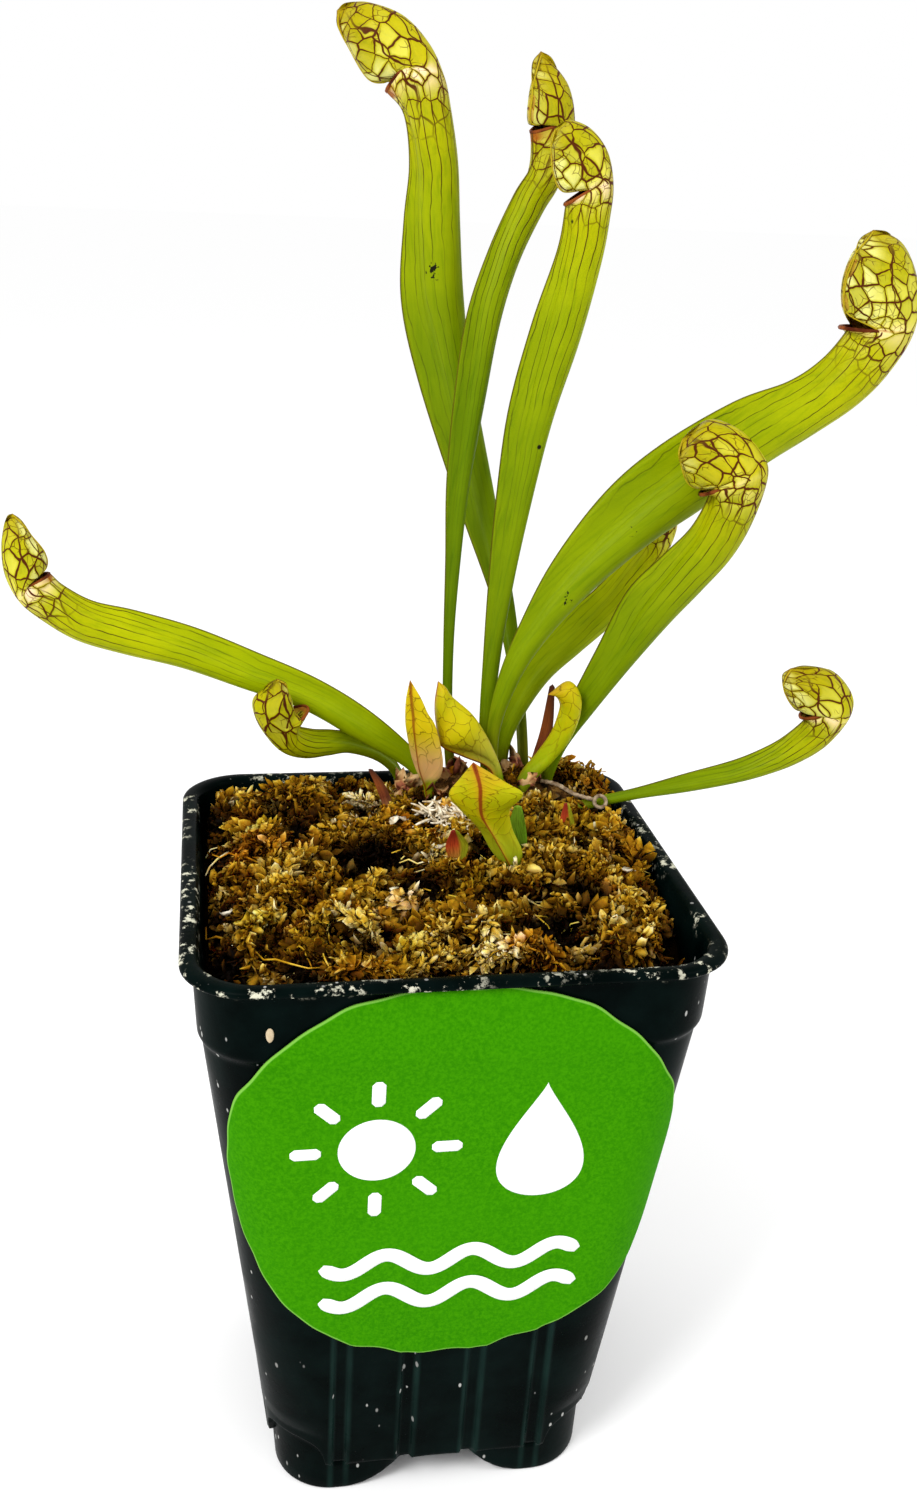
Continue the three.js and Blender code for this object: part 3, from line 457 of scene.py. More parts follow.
def pot_look():
    """Black plastic with a faint green cast: fine grain, painted sheen that lightens the flutes' edges in
    place of their reflections, pale specks all over, and lime dried on along the lip, thickest at its left
    side and its front corners."""
    look = Look("pot_plastic", 0.34, 0.012)
    at = look.put("SeparateXYZ", {0: look.place()})
    x, y, z = [at.other(axis) for axis in "XYZ"]
    cloud = look.noise(90.0, 4.0)
    skin = look.blend(cloud.between(0.3, 0.75), (0.0002, 0.0013, 0.0011), (0.0014, 0.005, 0.0044))
    # Painted sheen: the flutes' edges low on the wall are lightened where the plastic would reflect light.
    aside = abs(x).least(abs(y))
    to_inner, to_outer = [abs(aside - flute * MM) for flute in FLUTES[2:]]
    to_edge = abs(to_inner.least(to_outer) - (FLUTE_HALF + 0.2) * MM)
    flute_sheen = to_edge.between(0.1 * MM, 0.9 * MM, 1.0, 0.0) * z.between(60 * MM, 80 * MM, 1.0, 0.0)
    flute_sheen = flute_sheen * look.noise(60.0, 2.0).between(0.35, 0.65, 0.3, 1.0)
    skin = skin.under(flute_sheen, (0.006, 0.018, 0.015))
    upright = look.put("Mapping", {"Vector": look.place(), "Scale": (1.0, 1.0, 0.5)})
    for scale, chance, size, pale in POT_SPECKS:
        specks = look.specks(scale, chance, size, size * 1.8, 0.8, at=upright)
        skin = skin.under(specks, (pale, pale, pale * 0.95))
    at_left = x.between(-45.5 * MM, -41.0 * MM, 0.16, 0.0)
    at_front = y.between(-45.5 * MM, -38.0 * MM, 0.08, 0.0)
    patch = look.noise(45.0, 2.0) + (at_left + at_front)
    lime = look.noise(420.0, 5.0, 0.7).between(0.55, 0.62) * patch.between(0.48, 0.62)
    skin = skin.under(lime * z.between(116.8 * MM, 119.0 * MM), (0.55, 0.54, 0.42))
    look.feed({"Roughness": cloud.between(0.3, 0.7, 0.24, 0.38)})
    return look.paint(skin, look.noise(700.0), 0.25, 0.12)


def make_pot():
    """The moulding with its nubs; cylinders are cut through the base as drain holes."""
    look = pot_look()
    moulding = ring_stack(pot_rings(), (0, 0, FLOOR_HEIGHT), (0, 0, 0))
    pot = make_piece("pot_moulding", *joined([moulding, *turned_shells(NUB_PROFILE, 24, NUB_AT, 0)]), look)
    holes = turned_shells(DRAIN_PROFILE, 32, DRAIN_AT, math.pi / 4)
    cutter = make_piece("drain_cutter", *joined(holes), look)
    cut = pot.modifiers.new("drains", "BOOLEAN")
    cut.object = cutter
    cut.operation = "DIFFERENCE"
    cut.solver = "EXACT"
    whole = bpy.data.meshes.new_from_object(pot.evaluated_get(bpy.context.evaluated_depsgraph_get()))
    pot.modifiers.clear()
    pot.data = whole
    bpy.data.objects.remove(cutter)
    return pot


pot_piece = make_pot()
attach(pot_piece, "root")
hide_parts("pot")


# Label. A round paper sticker, green, with white printed care signs: a sun, a water drop and two
# waves. It is pressed on the front by hand, over the collar and round both corners.
LABEL_MIDDLE = (0.5, 77.8)
# Distance of the cut edge from the middle, from the right side anticlockwise in even steps.
LABEL_RADII = np.array([41.6, 41.0, 41.3, 40.6, 42.6, 43.0, 41.0, 39.8, 41.2, 41.0, 40.9, 42.2])
# Small waves in the cut edge: [size, how many, start].
CUT_WAVES = ((0.14, 19, 0), (0.1, 31, 1))
LABEL_TOP, LABEL_OUT, LABEL_BACK, LABEL_SAG, EDGE_TUCK = 118.0, 0.75, 0.28, 0.6, 0.12
FACE_ROWS = np.append(np.linspace(0.02, 0.99, 44), 1.0)
BACK_ROWS = np.append(1.0, np.linspace(0.96, 0.02, 20))
# The paper bridges the step under the collar, and goes this share of the way into a flute.
PAPER_HEIGHTS = [7.5, 98.5, 102.5, 104.5, 107.5, 118.4]
PAPER_HALVES = [31.8, 42.04, 42.75, 43.2, 43.5, 44.0]
INTO_FLUTE = 0.45
SUN_AT, SUN_RADIUS, RAY_FROM, RAY_TO, RAYS, RAY_HALF = (-14.0, 86.0), 6.6, 9.4, 14.6, 8, 1.15
DROP_AT, DROP_LENGTH, DROP_WIDTH = (14.5, 86.0), 25.0, 11.0
WAVE_HEIGHTS, WAVE_LENGTH, WAVE_RISE, WAVE_HALF = (60.0, 52.0), 46.0, 2.0, 1.5
INK_OUT, INK_SUNK, STROKE_SUNK = 0.1, 0.1, 0.02


def on_front(across, height, out):
    """A place on the pot's front: across is measured along the wall and round its corners."""
    half = np.interp(height, PAPER_HEIGHTS, PAPER_HALVES) + out
    corner = np.interp(height, WALL_HEIGHTS, WALL_CORNERS) + out
    flat = half - corner
    turned = np.maximum(np.abs(across) - flat, 0) / corner
    x = np.sign(across) * (np.minimum(np.abs(across), flat) + corner * np.sin(turned))
    return np.stack(np.broadcast_arrays(x, -(flat + corner * np.cos(turned)), height), axis=-1)


def spline(a, b, c, d, t):
    """A smooth curve from b to c: a uniform Catmull-Rom spline, whose tangent at a point is half the
    step between its neighbours."""
    return b + 0.5 * t * (c - a + t * (2 * a - 5 * b + 4 * c - d + t * (3 * b - a - 3 * c + d)))


def edge_radius(angle):
    """Distance of the cut edge at an angle: a smooth closed curve through the measured distances."""
    number, t = np.divmod(angle / (2 * math.pi) % 1 * len(LABEL_RADII), 1)
    return spline(*[LABEL_RADII[(number.astype(int) + k) % len(LABEL_RADII)] for k in (-1, 0, 1, 2)], t)


def label_look():
    """Green paper with a fine grain and a pale cut edge."""
    look = Look("label_paper", 0.6, 0.006)
    grain = look.noise(1400.0, 2.0, 0.8)
    paper = look.blend(grain.between(0.3, 0.72), (0.022, 0.175, 0.0004), (0.042, 0.24, 0.001))
    paper = paper.under(look.noise(60.0).between(0.35, 0.7, 0.0, 0.25), (0.036, 0.235, 0.0006))
    paper = paper.under(look.mark("inwards").between(0.2, 0.45, 1.0, 0.0), (0.16, 0.4, 0.05))
    return look.paint(paper, look.noise(500.0), 0.2, 0.1)


def make_label():
    """A disc of paper: rings from its middle to its cut edge on the face, and back again behind. Its
    lower edge hangs a little lower at each flute, by a cosine of the distance along the wall."""
    angle = turns(240)
    radius = edge_radius(angle)
    by_flutes = np.cos(2 * math.pi * (radius * np.cos(angle) - FLUTES[2]) / np.diff(FLUTES).mean())
    wave = sum(size * np.sin(many * angle + start) for size, many, start in CUT_WAVES)
    wave = wave + LABEL_SAG * by_flutes * np.clip(-1.8 * np.sin(angle) - 0.8, 0, 1)
    share = np.concatenate([FACE_ROWS, BACK_ROWS])[:, None]
    row = np.arange(len(share))[:, None]
    face = row < len(FACE_ROWS)
    reach = share * (radius + wave)
    across = LABEL_MIDDLE[0] + reach * np.cos(angle)
    height = np.minimum(LABEL_MIDDLE[1] + reach * np.sin(angle), LABEL_TOP)
    out = np.where(face, LABEL_OUT, LABEL_BACK) + INTO_FLUTE * flute_push(across, height) * face
    out = out - EDGE_TUCK * (row == len(FACE_ROWS) - 1)
    poles = [on_front(*LABEL_MIDDLE, depth) for depth in (LABEL_OUT, LABEL_BACK)]
    inwards = np.append((1 - share) * radius, [40, 40])
    points, faces = ring_stack(on_front(across, height, out), *poles)
    return make_piece("label_sticker", points, faces, label_look(), marks={"inwards": inwards})


def printed_blot(centre, across, height):
    """A flat shape round a centre, given its outline: a thin closed slab."""
    shares = np.array([0.5, 0.98, 1.0, 0.5])[:, None]
    out = LABEL_OUT + np.array([INK_OUT, INK_OUT, 0.0, -INK_SUNK])[:, None]
    rings = on_front(centre[0] + shares * across, centre[1] + shares * height, out)
    return ring_stack(rings, on_front(*centre, LABEL_OUT + INK_OUT), on_front(*centre, LABEL_OUT - INK_SUNK))


def printed_stroke(across, height, half):
    """A stroke of ink along a line, of a half width that changes along it: a thin closed slab."""
    run = np.stack([np.gradient(across), np.gradient(height)])
    run_x, run_z = (run / np.hypot(*run))[..., None]
    sides = np.array([1, 1, -1, -1]) * half[:, None]
    out = LABEL_OUT + np.array([0.0, INK_OUT, INK_OUT, 0.0]) - STROKE_SUNK
    rings = on_front(across[:, None] - run_z * sides, height[:, None] + run_x * sides, out)
    return ring_stack(rings, rings[0].mean(axis=0), rings[-1].mean(axis=0))


def make_care_signs():
    """Sun with rays, water drop and two waves, in white ink. The drop's outline is a circle whose width
    is drawn in towards its top: side = width sin t |sin t/2|^1.5, height = half the length times cos t."""
    angle = turns(96)
    narrow = DROP_WIDTH * np.sin(angle) * np.abs(np.sin(angle / 2)) ** 1.5
    shells = [printed_blot(SUN_AT, SUN_RADIUS * np.cos(angle), SUN_RADIUS * np.sin(angle))]
    reach = np.linspace(RAY_FROM, RAY_TO, 8)
    half = np.interp(np.linspace(0, 1, 8), [0, 0.1, 0.9, 1], [0.5, RAY_HALF, RAY_HALF, 0.5])
    for turn in turns(RAYS):
        across, height = SUN_AT[0] + reach * math.cos(turn), SUN_AT[1] + reach * math.sin(turn)
        shells.append(printed_stroke(across, height, half))
    shells.append(printed_blot(DROP_AT, -narrow, DROP_LENGTH / 2 * np.cos(angle)))
    across = np.linspace(-WAVE_LENGTH / 2, WAVE_LENGTH / 2, 90)
    half = WAVE_HALF * np.clip((WAVE_LENGTH / 2 + 0.4 - np.abs(across)) / 1.6, 0.2, 1) ** 0.5
    for height in WAVE_HEIGHTS:
        waving = height + WAVE_RISE * np.sin(across * 6 * math.pi / WAVE_LENGTH)
        shells.append(printed_stroke(across, waving, half))
    look = Look("white_ink", 0.5, 0.2)
    look.paint(look.blend(look.noise(1500.0, 2.0), (0.82, 0.84, 0.8), (0.9, 0.9, 0.9)))
    return make_piece("label_care_signs", *joined(shells), look)


for piece in (make_label(), make_care_signs()):
    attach(piece, "root")
    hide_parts("label")


# Growing medium. Long-fibre bog moss, dried to ochre and brown and pressed in by hand, fills the pot.
# Ropes of papery leaves lie over a core coloured near black as painted shade, with hollows between them that
# painted shade darkens, and straw-like fibres.
MOSS_HALF, MOSS_CORNER, MOSS_LEVEL = 42.0, 10.0, 117.5
MOUND_RISE, MOUND_AT, MOUND_SPREAD = 6.2, (22.0, 20.0), 27.0
# Smaller humps: [x, y, rise, spread]. Hollows: [x, y, depth, spread].
HUMPS = [(38, 33, 3.5, 8), (40, 2, 2.0, 6), (-21, 29, 4.5, 5), (-36, 30, 2.5, 5), (-33, 6, 2.0, 7),
         (-32, -14, 1.6, 6), (-14, 37, 2.5, 6), (-20, -25, 1.8, 8), (4, -33, 1.6, 7), (34, -22, 1.4, 6)]
HOLLOWS = [(-11.6, 3.6, 7, 6.0), (-3, -8.5, 5, 4), (26, -16, 5.5, 4.5), (-42, 8, 3.5, 5), (-42, 26, 3.5, 5),
           (42, -30, 5, 5), (14, -27, 4, 4), (-24, 17, 3, 4), (-27, -36, 3, 4), (37, 20, 3.2, 6),
           (15, 22, 2.4, 7), (4, 24, 3.4, 5), (28, 24, 2.4, 5), (32, 18, 3, 3.5), (18.5, -27, 4, 4.5),
           (-43, -14, 3.5, 5), (23, -40, 3.5, 4), (36, -40, 3.5, 4), (-41, -31, 3, 4), (10.5, 1, 2.5, 3.5),
           (11, -14, 2, 3)]
CORE_DROP, CORE_FOOT, CORE_WAVES = 4.2, 9.9, 14
# Sides of the core down along the wall: [height, half width].
CORE_SIDES = ((110, 41.5), (80, 38.0), (40, 33.4), (CORE_FOOT, 30.0))
SHOOTS, SHOOT_LEAVES, SHOOT_PIECES = 350, 105, 6
SHOOT_LENGTH, SHOOT_REACH, SHOOT_THICKNESS = (10.0, 26.0), 38.5, (0.5, 1.5)
LEAF_LENGTH, LEAF_BREADTH, LEAF_THICKNESS = (1.3, 3.3), (0.4, 0.75), 0.08
# One curled leaf: [share of its length, half width, how deep its middle lies] at three cross rows.
LEAF_ROWS = [(0.22, 0.75, 0.25), (0.55, 1.0, 0.45), (0.84, 0.55, 0.2)]
# How much lighter or darker the points of a leaf are, from its base to its tip: painted shade darkens the
# base and the sunk middle, and a painted highlight lightens the raised edges and the tip.
LEAF_TONES = [-0.15, 0, -0.08, 0, -0.08, 0.06, -0.03, 0.06, -0.03, 0.12, 0.06, 0.12, 0.06, 0.2]
# The moss's top is found in square cells of this side.
TOP_CELL, TOP_CELLS = 1.3, 74
# Leaves over the lip's height may reach further out than those between the walls.
LIP_CLEAR, OVER_LIP, IN_WALLS = 120.5, 43.5, 41.2
FIBRES, FIBRE_LENGTH, FIBRE_RADIUS, FIBRE_HALF = 150, (6.0, 20.0), (0.1, 0.2), 41.6


def bells(x, y, spots):
    """Round bell curves added up, each from its place, height and spread."""
    return sum(size * np.exp(-((x - at_x) ** 2 + (y - at_y) ** 2) / spread ** 2)
               for at_x, at_y, size, spread in spots)


def moss_height(x, y):
    """Level near the wall, a broad mound round the plant, short waves, small humps, hollows, and a fall
    close to the wall."""
    waves = 0.9 * np.sin(0.31 * x + 1.3) * np.cos(0.27 * y) + 0.6 * np.sin(0.63 * x - 0.4 * y)
    edge = np.maximum(np.abs(x), np.abs(y)) / 42.4
    mound = bells(x, y, [(*MOUND_AT, MOUND_RISE, MOUND_SPREAD)])
    return MOSS_LEVEL + mound + waves - 3 * edge ** 8 + bells(x, y, HUMPS) - bells(x, y, HOLLOWS)


def kept_inside(points, half):
    """Moves points that lie outside a rounded square straight back to its edge."""
    off = np.maximum(np.abs(points[..., :2]) - (half - MOSS_CORNER), 0)
    size = np.linalg.norm(off, axis=-1, keepdims=True)
    back = np.maximum(size - MOSS_CORNER, 0) / np.maximum(size, 1e-6)
    flat = points[..., :2] - np.sign(points[..., :2]) * off * back
    return np.concatenate([flat, points[..., 2:]], axis=-1)


def make_core():
    """Rings of the core: out across its rough top, down along the wall and in across its base."""
    draw = np.random.default_rng(4)
    places = np.linspace(-SIDE_END, SIDE_END, 49)[:-1]
    ring = square_ring(MOSS_HALF, MOSS_CORNER, places)[0]
    ways = draw.uniform(0, 2 * math.pi, CORE_WAVES)
    waves = draw.uniform(0.7, 2.4, CORE_WAVES)
    x, y = np.linspace(0.02, 1, 60)[:, None] ** 0.8 * ring.T[:, None]
    rough = sum(np.sin(w * (x * math.cos(a) + y * math.sin(a)) + 7 * a) for a, w in zip(ways, waves))
    top = np.stack([x, y, moss_height(x, y) - CORE_DROP + 0.3 * rough], axis=2)
    sides = [np.column_stack([square_ring(half, MOSS_CORNER, places)[0], np.full(len(ring), float(height))])
             for height, half in CORE_SIDES]
    rings = np.array([*top, *sides, sides[-1] * [0.4, 0.4, 1]])
    # Painted shade: the core is the moss's own packed bottom, but it is coloured near black so that the gaps
    # between the ropes show as deep shadow.
    look = Look("moss_core", 0.9, 0.01)
    core_shade_noise = look.noise(500.0, 5.0, 0.7)
    skin = core_shade_noise.ramp([(0.35, 0.002, 0.001, 0.0003), (0.6, 0.012, 0.005, 0.001), (0.8, 0.05, 0.022, 0.003)])
    look.paint(skin, core_shade_noise, 0.8, 0.8)
    return make_piece("moss_core", *ring_stack(rings, rings[0].mean(axis=0), (0, 0, CORE_FOOT)), look)


def curled_leaves(base, ahead, side, length, breadth, curl, ruffle):
    """Points of papery leaves: base, two edges and the two faces of the middle at three rows, and tip.
    The middle lies lower than the edges, ruffle tilts each row, and a leaf bends away from its length by
    curl times the square of the distance along it."""
    over = np.cross(side, ahead)
    rows = []
    for row, (share, wide, deep) in enumerate(LEAF_ROWS):
        middle = base + (share * length)[:, None] * ahead + (curl * share ** 2 * length)[:, None] * over
        reach = (0.5 * wide * breadth)[:, None] * side
        lift = (deep * breadth * 0.5)[:, None] * over
        tilt = ruffle[:, row, None]
        rows += [middle - reach + lift * (1 + tilt), middle - lift + 0.5 * LEAF_THICKNESS * over,
                 middle + reach + lift * (1 - tilt), middle - lift - 0.5 * LEAF_THICKNESS * over]
    tip = base + length[:, None] * ahead + (curl * length * 1.1)[:, None] * over
    return np.stack([base, *rows, tip], axis=1)


def make_leaves(name, points, look, marks=None):
    """A piece of many curled leaves: four faces at each end of a leaf and four pairs between its rows."""
    ring = [(k, (k + 1) % 4) for k in range(4)]
    faces = [[0, 1 + a, 1 + b] for a, b in ring]
    faces += [[start + a, start + 4 + a, start + 4 + b] for start in (1, 5) for a, b in ring]
    faces += [[start + a, start + 4 + b, start + b] for start in (1, 5) for a, b in ring]
    faces += [[13, 9 + b, 9 + a] for a, b in ring]
    faces = np.array(faces) + points.shape[1] * np.arange(len(points))[:, None, None]
    return make_piece(name, points.reshape(-1, 3), faces.reshape(-1, 3), look, marks=marks, seam=FINE_SEAM)


def below_top(points):
    """How far each point lies below the moss's top near it. The top is the highest leaf in each square
    cell, spread two cells to every side and then evened out with its neighbours."""
    column, row = np.clip((points[..., :2] / TOP_CELL + TOP_CELLS / 2).astype(int), 0, TOP_CELLS - 1).T
    top = np.full((TOP_CELLS, TOP_CELLS), MOSS_LEVEL - 8)
    np.maximum.at(top, (column, row), points[..., 2].T)
    for merge in (np.max, np.max, np.mean, np.mean, np.mean):
        top = merge([np.roll(top, step, axis) for step in (-1, 0, 1) for axis in (0, 1)], axis=0)
    return top[column, row].T - points[..., 2]


def moss_look():
    """Dry leaves, brown and ochre to straw, darkened to near black by painted shade where they lie deep
    between the ropes and in the hollows.
    """
    look = Look("moss_leaves", 0.6, 0.03)
    fine = look.noise(420.0)
    skin = (look.mark("tone") + fine.between(0.3, 0.7, -0.14, 0.14)).ramp([
        (0.0, 0.09, 0.035, 0.001), (0.2, 0.24, 0.11, 0.003), (0.4, 0.45, 0.24, 0.008),
        (0.56, 0.7, 0.45, 0.04), (0.75, 0.85, 0.66, 0.18), (1.0, 0.95, 0.86, 0.6)])
    skin = skin.under(look.noise(75.0, 2.0).between(0.52, 0.7, 0.0, 0.7), (0.95, 0.5, 0.2), "MULTIPLY")
    beside = look.put("Mapping", {"Vector": look.place(), "Location": (0.3, 0.1, 0.7)})
    green = look.noise(60.0, 2.0, at=beside).between(0.54, 0.7, 0.0, 0.6)
    skin = skin.under(green, (0.72, 0.86, 0.4), "MULTIPLY")
    # Painted shade: the deeper a leaf lies below the moss's top near it and in a hollow, the darker it is
    # painted, down to near black.
    shade = ((look.mark("deep") + fine.between(0.3, 0.7, -0.5, 0.5)) * 0.125).ramp([
        (0.12, 1.0, 1.0, 1.0), (0.28, 0.66, 0.6, 0.54), (0.48, 0.2, 0.15, 0.1), (0.75, 0.01, 0.007, 0.004)])
    look.feed({"Subsurface Weight": 0.1, "Subsurface Scale": 0.5 * MM})
    return look.paint(skin.under(1.0, shade, "MULTIPLY"), look.noise(1500.0, 2.0), 0.3, 0.15)


def laid_out(x, y, turn, forth, aside):
    """Places along lines that are turned about their middles."""
    return x + np.cos(turn) * forth - np.sin(turn) * aside, y + np.sin(turn) * forth + np.cos(turn) * aside


def make_shoots(look):
    """Ropes of leaves laid every way on the core. A shoot's stem sways to its sides and up and down, and
    leaves stand round it in a spiral, each a little out from the stem. Each shoot has its own tone."""
    draw = np.random.default_rng(11)
    spots = (np.outer(np.arange(SHOOTS), (0.7549, 0.5698)) + draw.uniform(0, 0.04, (SHOOTS, 2))) % 1
    x, y = (SHOOT_REACH * (2 * spots - 1)).T[:, :, None]
    turn, phase = draw.uniform(0, 2 * math.pi, (2, SHOOTS, 1))
    length = draw.uniform(*SHOOT_LENGTH, (SHOOTS, 1))
    share = np.linspace(0, 1, SHOOT_LEAVES)
    aside = 0.14 * length * np.sin(5 * share + phase)
    stem_x, stem_y = laid_out(x, y, turn, (share - 0.5) * length, aside)
    sink, arch, head = [draw.uniform(low, high, (SHOOTS, 1))
                        for low, high in ((0.8, 5.2), (0.3, 4.2), (-2.5, 3.2))]
    up = arch * (1 - 4 * (share - 0.5) ** 2) + head * share ** 4 - sink + 0.5 * np.sin(11 * share + 2 * phase)
    stem = np.stack([stem_x, stem_y, moss_height(stem_x, stem_y) + up], axis=2)
    axis = unit(np.gradient(stem, axis=1))
    first = unit(np.cross(axis, [0.31, 0.22, 0.93]))
    second = np.cross(axis, first)
    spin = 2.4 * np.arange(SHOOT_LEAVES) + draw.uniform(0, 6, (SHOOTS, 1))
    spin = (spin + draw.normal(0, 0.4, spin.shape))[..., None]
    outward = np.cos(spin) * first + np.sin(spin) * second
    size = spin.shape[:2]
    from_stem = draw.uniform(*SHOOT_THICKNESS, (SHOOTS, 1)) * draw.uniform(0.2, 1, size)
    base = stem + from_stem[..., None] * outward
    spread = np.radians(draw.uniform(6, 52, size))[..., None]
    way = unit(axis * np.cos(spread) + outward * np.sin(spread))
    side = unit(np.cross(axis, way) + draw.normal(0, 0.4, way.shape))
    side = unit(side - (side * way).sum(axis=-1, keepdims=True) * way)
    long = draw.uniform(*LEAF_LENGTH, size) * (1.1 - 0.3 * share)
    long = long * draw.uniform(0.7, 1.3, (SHOOTS, 1))
    broad = long * draw.uniform(*LEAF_BREADTH, size)
    curl = draw.uniform(-0.35, 0.6, size)
    ruffle = draw.uniform(-1.6, 1.6, (long.size, 3))
    points = curled_leaves(*[values.reshape(-1, 3) for values in (base, way, side)],
                           long.ravel(), broad.ravel(), curl.ravel(), ruffle)
    cloudy = 0.5 + 0.3 * np.sin(0.19 * x + 0.6) * np.cos(0.16 * y - 0.4) + 0.2 * np.sin(0.41 * x - 0.33 * y)
    tone = 0.17 + 0.42 * cloudy + draw.normal(0, 0.15, (SHOOTS, 1)) + draw.normal(0, 0.09, size)
    tone = np.clip(tone.ravel()[:, None] + LEAF_TONES, 0, 1)
    # Painted shade: how far a leaf lies below its neighbours' top, and how deep in a hollow, sets how dark
    # moss_look paints it.
    deep = below_top(points) + 1.1 * bells(points[..., 0], points[..., 1], HOLLOWS)
    points = kept_inside(points, np.where(points[..., 2:] > LIP_CLEAR, OVER_LIP, IN_WALLS))
    return [make_leaves(f"moss_shoots_{number}", points[some], look, {"tone": tone[some], "deep": deep[some]})
            for number, some in enumerate(np.array_split(np.arange(len(points)), SHOOT_PIECES), start=1)]


def rods(paths, radii, sides):
    """Round rods along many paths at once: rings across each path, closed at the path's two ends."""
    run = unit(np.gradient(paths, axis=1))
    chord = paths[:, -1] - paths[:, 0]
    aside = np.eye(3)[np.abs(chord).argmin(axis=1)][:, None]
    first = unit(np.cross(run, aside))
    second = np.cross(run, first)
    angle = turns(sides)[:, None]
    around = np.cos(angle) * first[:, :, None] + np.sin(angle) * second[:, :, None]
    rings = paths[:, :, None] + radii[:, :, None, None] * around
    return joined([ring_stack(some, path[0], path[-1]) for some, path in zip(rings, paths)])


def make_fibres(look):
    """Bare straw-like stems that lie in shallow arches across the moss."""
    draw = np.random.default_rng(23)
    x, y = draw.uniform(-MOSS_HALF + 5, MOSS_HALF - 5, (2, FIBRES))[..., None]
    turn = draw.uniform(0, 2 * math.pi, FIBRES)[:, None]
    length = draw.uniform(*FIBRE_LENGTH, FIBRES)[:, None]
    t = np.linspace(-0.5, 0.5, 8)
    sway = draw.normal(0, 0.16, (FIBRES, 1)) * length
    path_x, path_y = laid_out(x, y, turn, t * length, sway * (4 * t ** 2 - 0.5))
    arch = draw.uniform(0.2, 1.8, (FIBRES, 1)) * (1 - 4 * t ** 2)
    up = moss_height(x, y) - 1.0 + arch + draw.normal(0, 0.4, path_x.shape)
    paths = kept_inside(np.stack([path_x, path_y, up], axis=2), FIBRE_HALF)
    radii = draw.uniform(*FIBRE_RADIUS, (FIBRES, 1)) * (1.1 - 1.6 * t ** 2)
    tone = np.repeat(np.clip(draw.normal(0.62, 0.17, FIBRES), 0.1, 1), len(t) * 5 + 2)
    return make_piece("moss_fibres", *rods(paths, radii, 5), look, marks={"tone": tone, "deep": 0 * tone},
                      seam=FINE_SEAM)


moss_skin = moss_look()
for piece in (make_core(), *make_shoots(moss_skin), make_fibres(moss_skin)):
    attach(piece, "root")
    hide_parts("growing_medium")


# Rhizome. The short creeping stem that every leaf rises from, scaly and brown, lies half sunk in the
# moss. Four roots grow down from it into the pot.
RHIZOME_RUN = [(-5.5, 32, 118, 1.2), (-4, 32, 118, 3), (3, 31, 119, 6), (12, 30, 119.4, 6.6),
               (21, 30, 119.4, 7.0), (29, 28, 119, 5.8), (34.5, 25, 118, 3), (36, 24.5, 118, 1.2)]
RHIZOME_STEPS, RHIZOME_FLATNESS = 7, 0.7
# Each root: where it starts, [x, y], and its end.
ROOT_RUNS = [[(2, 30), (-14, 18, 70)], [(10, 28), (4, 6, 58)], [(19, 30), (16, 30, 52)],
             [(26, 28), (32, 12, 64)]]
ROOT_TOP, ROOT_RADII = 116.0, (1.6, 0.7)
SCALES, SCALE_LENGTH, SCALE_ROWS = 46, (3.0, 6.5), (8, -12)


def smooth_rows(control, steps, after=None):
    """A spline down every column of control points. `after` is the row that would come next."""
    before = 2 * control[:1] - control[1:2]
    if after is None:
        after = 2 * control[-1:] - control[-2:-1]
    padded = np.concatenate([before, control, after])
    t = (np.arange(steps) / steps).reshape(-1, *[1] * (control.ndim - 1))
    rows = [spline(*four, t) for four in zip(padded[:-3], padded[1:-2], padded[2:-1], padded[3:])]
    return np.concatenate([*rows, control[-1:]])


def make_rhizome():
    """Flattened rings along the stem, with the rough rings that old leaf scars leave, and the roots."""
    run = smooth_rows(np.array(RHIZOME_RUN, float), RHIZOME_STEPS)
    x, y, z, half = run.T[..., None]
    angle = turns(40)
    wide = half * (1 + 0.05 * np.sin(1.9 * x + 1.3 * np.sin(2 * angle)) + 0.03 * np.sin(7 * angle + x))
    places = np.broadcast_arrays(x, y + wide * np.cos(angle), z + RHIZOME_FLATNESS * wide * np.sin(angle))
    rings = np.stack(places, axis=2)
    starts = np.array([[*top, ROOT_TOP] for top, end in ROOT_RUNS])
    ends = np.array([end for top, end in ROOT_RUNS], float)
    t = np.linspace(0, 1, 16)[:, None]
    paths = starts[:, None] + (ends - starts)[:, None] * t
    paths = paths + np.concatenate([1.5 * np.sin(7 * t), 1.2 * np.sin(9 * t + 1), 0 * t], axis=1) * t
    radii = np.broadcast_to(ROOT_RADII[0] + (ROOT_RADII[1] - ROOT_RADII[0]) * t[:, 0], paths.shape[:2])
    look = Look("rhizome_bark", 0.85, 0.03)
    bark = look.noise(350.0, 5.0, 0.7)
    skin = bark.ramp([(0.35, 0.006, 0.003, 0.001), (0.5, 0.05, 0.02, 0.004), (0.62, 0.2, 0.1, 0.025)])
    look.paint(skin, bark, 0.8, 0.8)
    stem = ring_stack(rings, rings[0].mean(axis=0), rings[-1].mean(axis=0))
    return make_piece("rhizome_stem", *joined([stem, rods(paths, radii, 10)]), look)


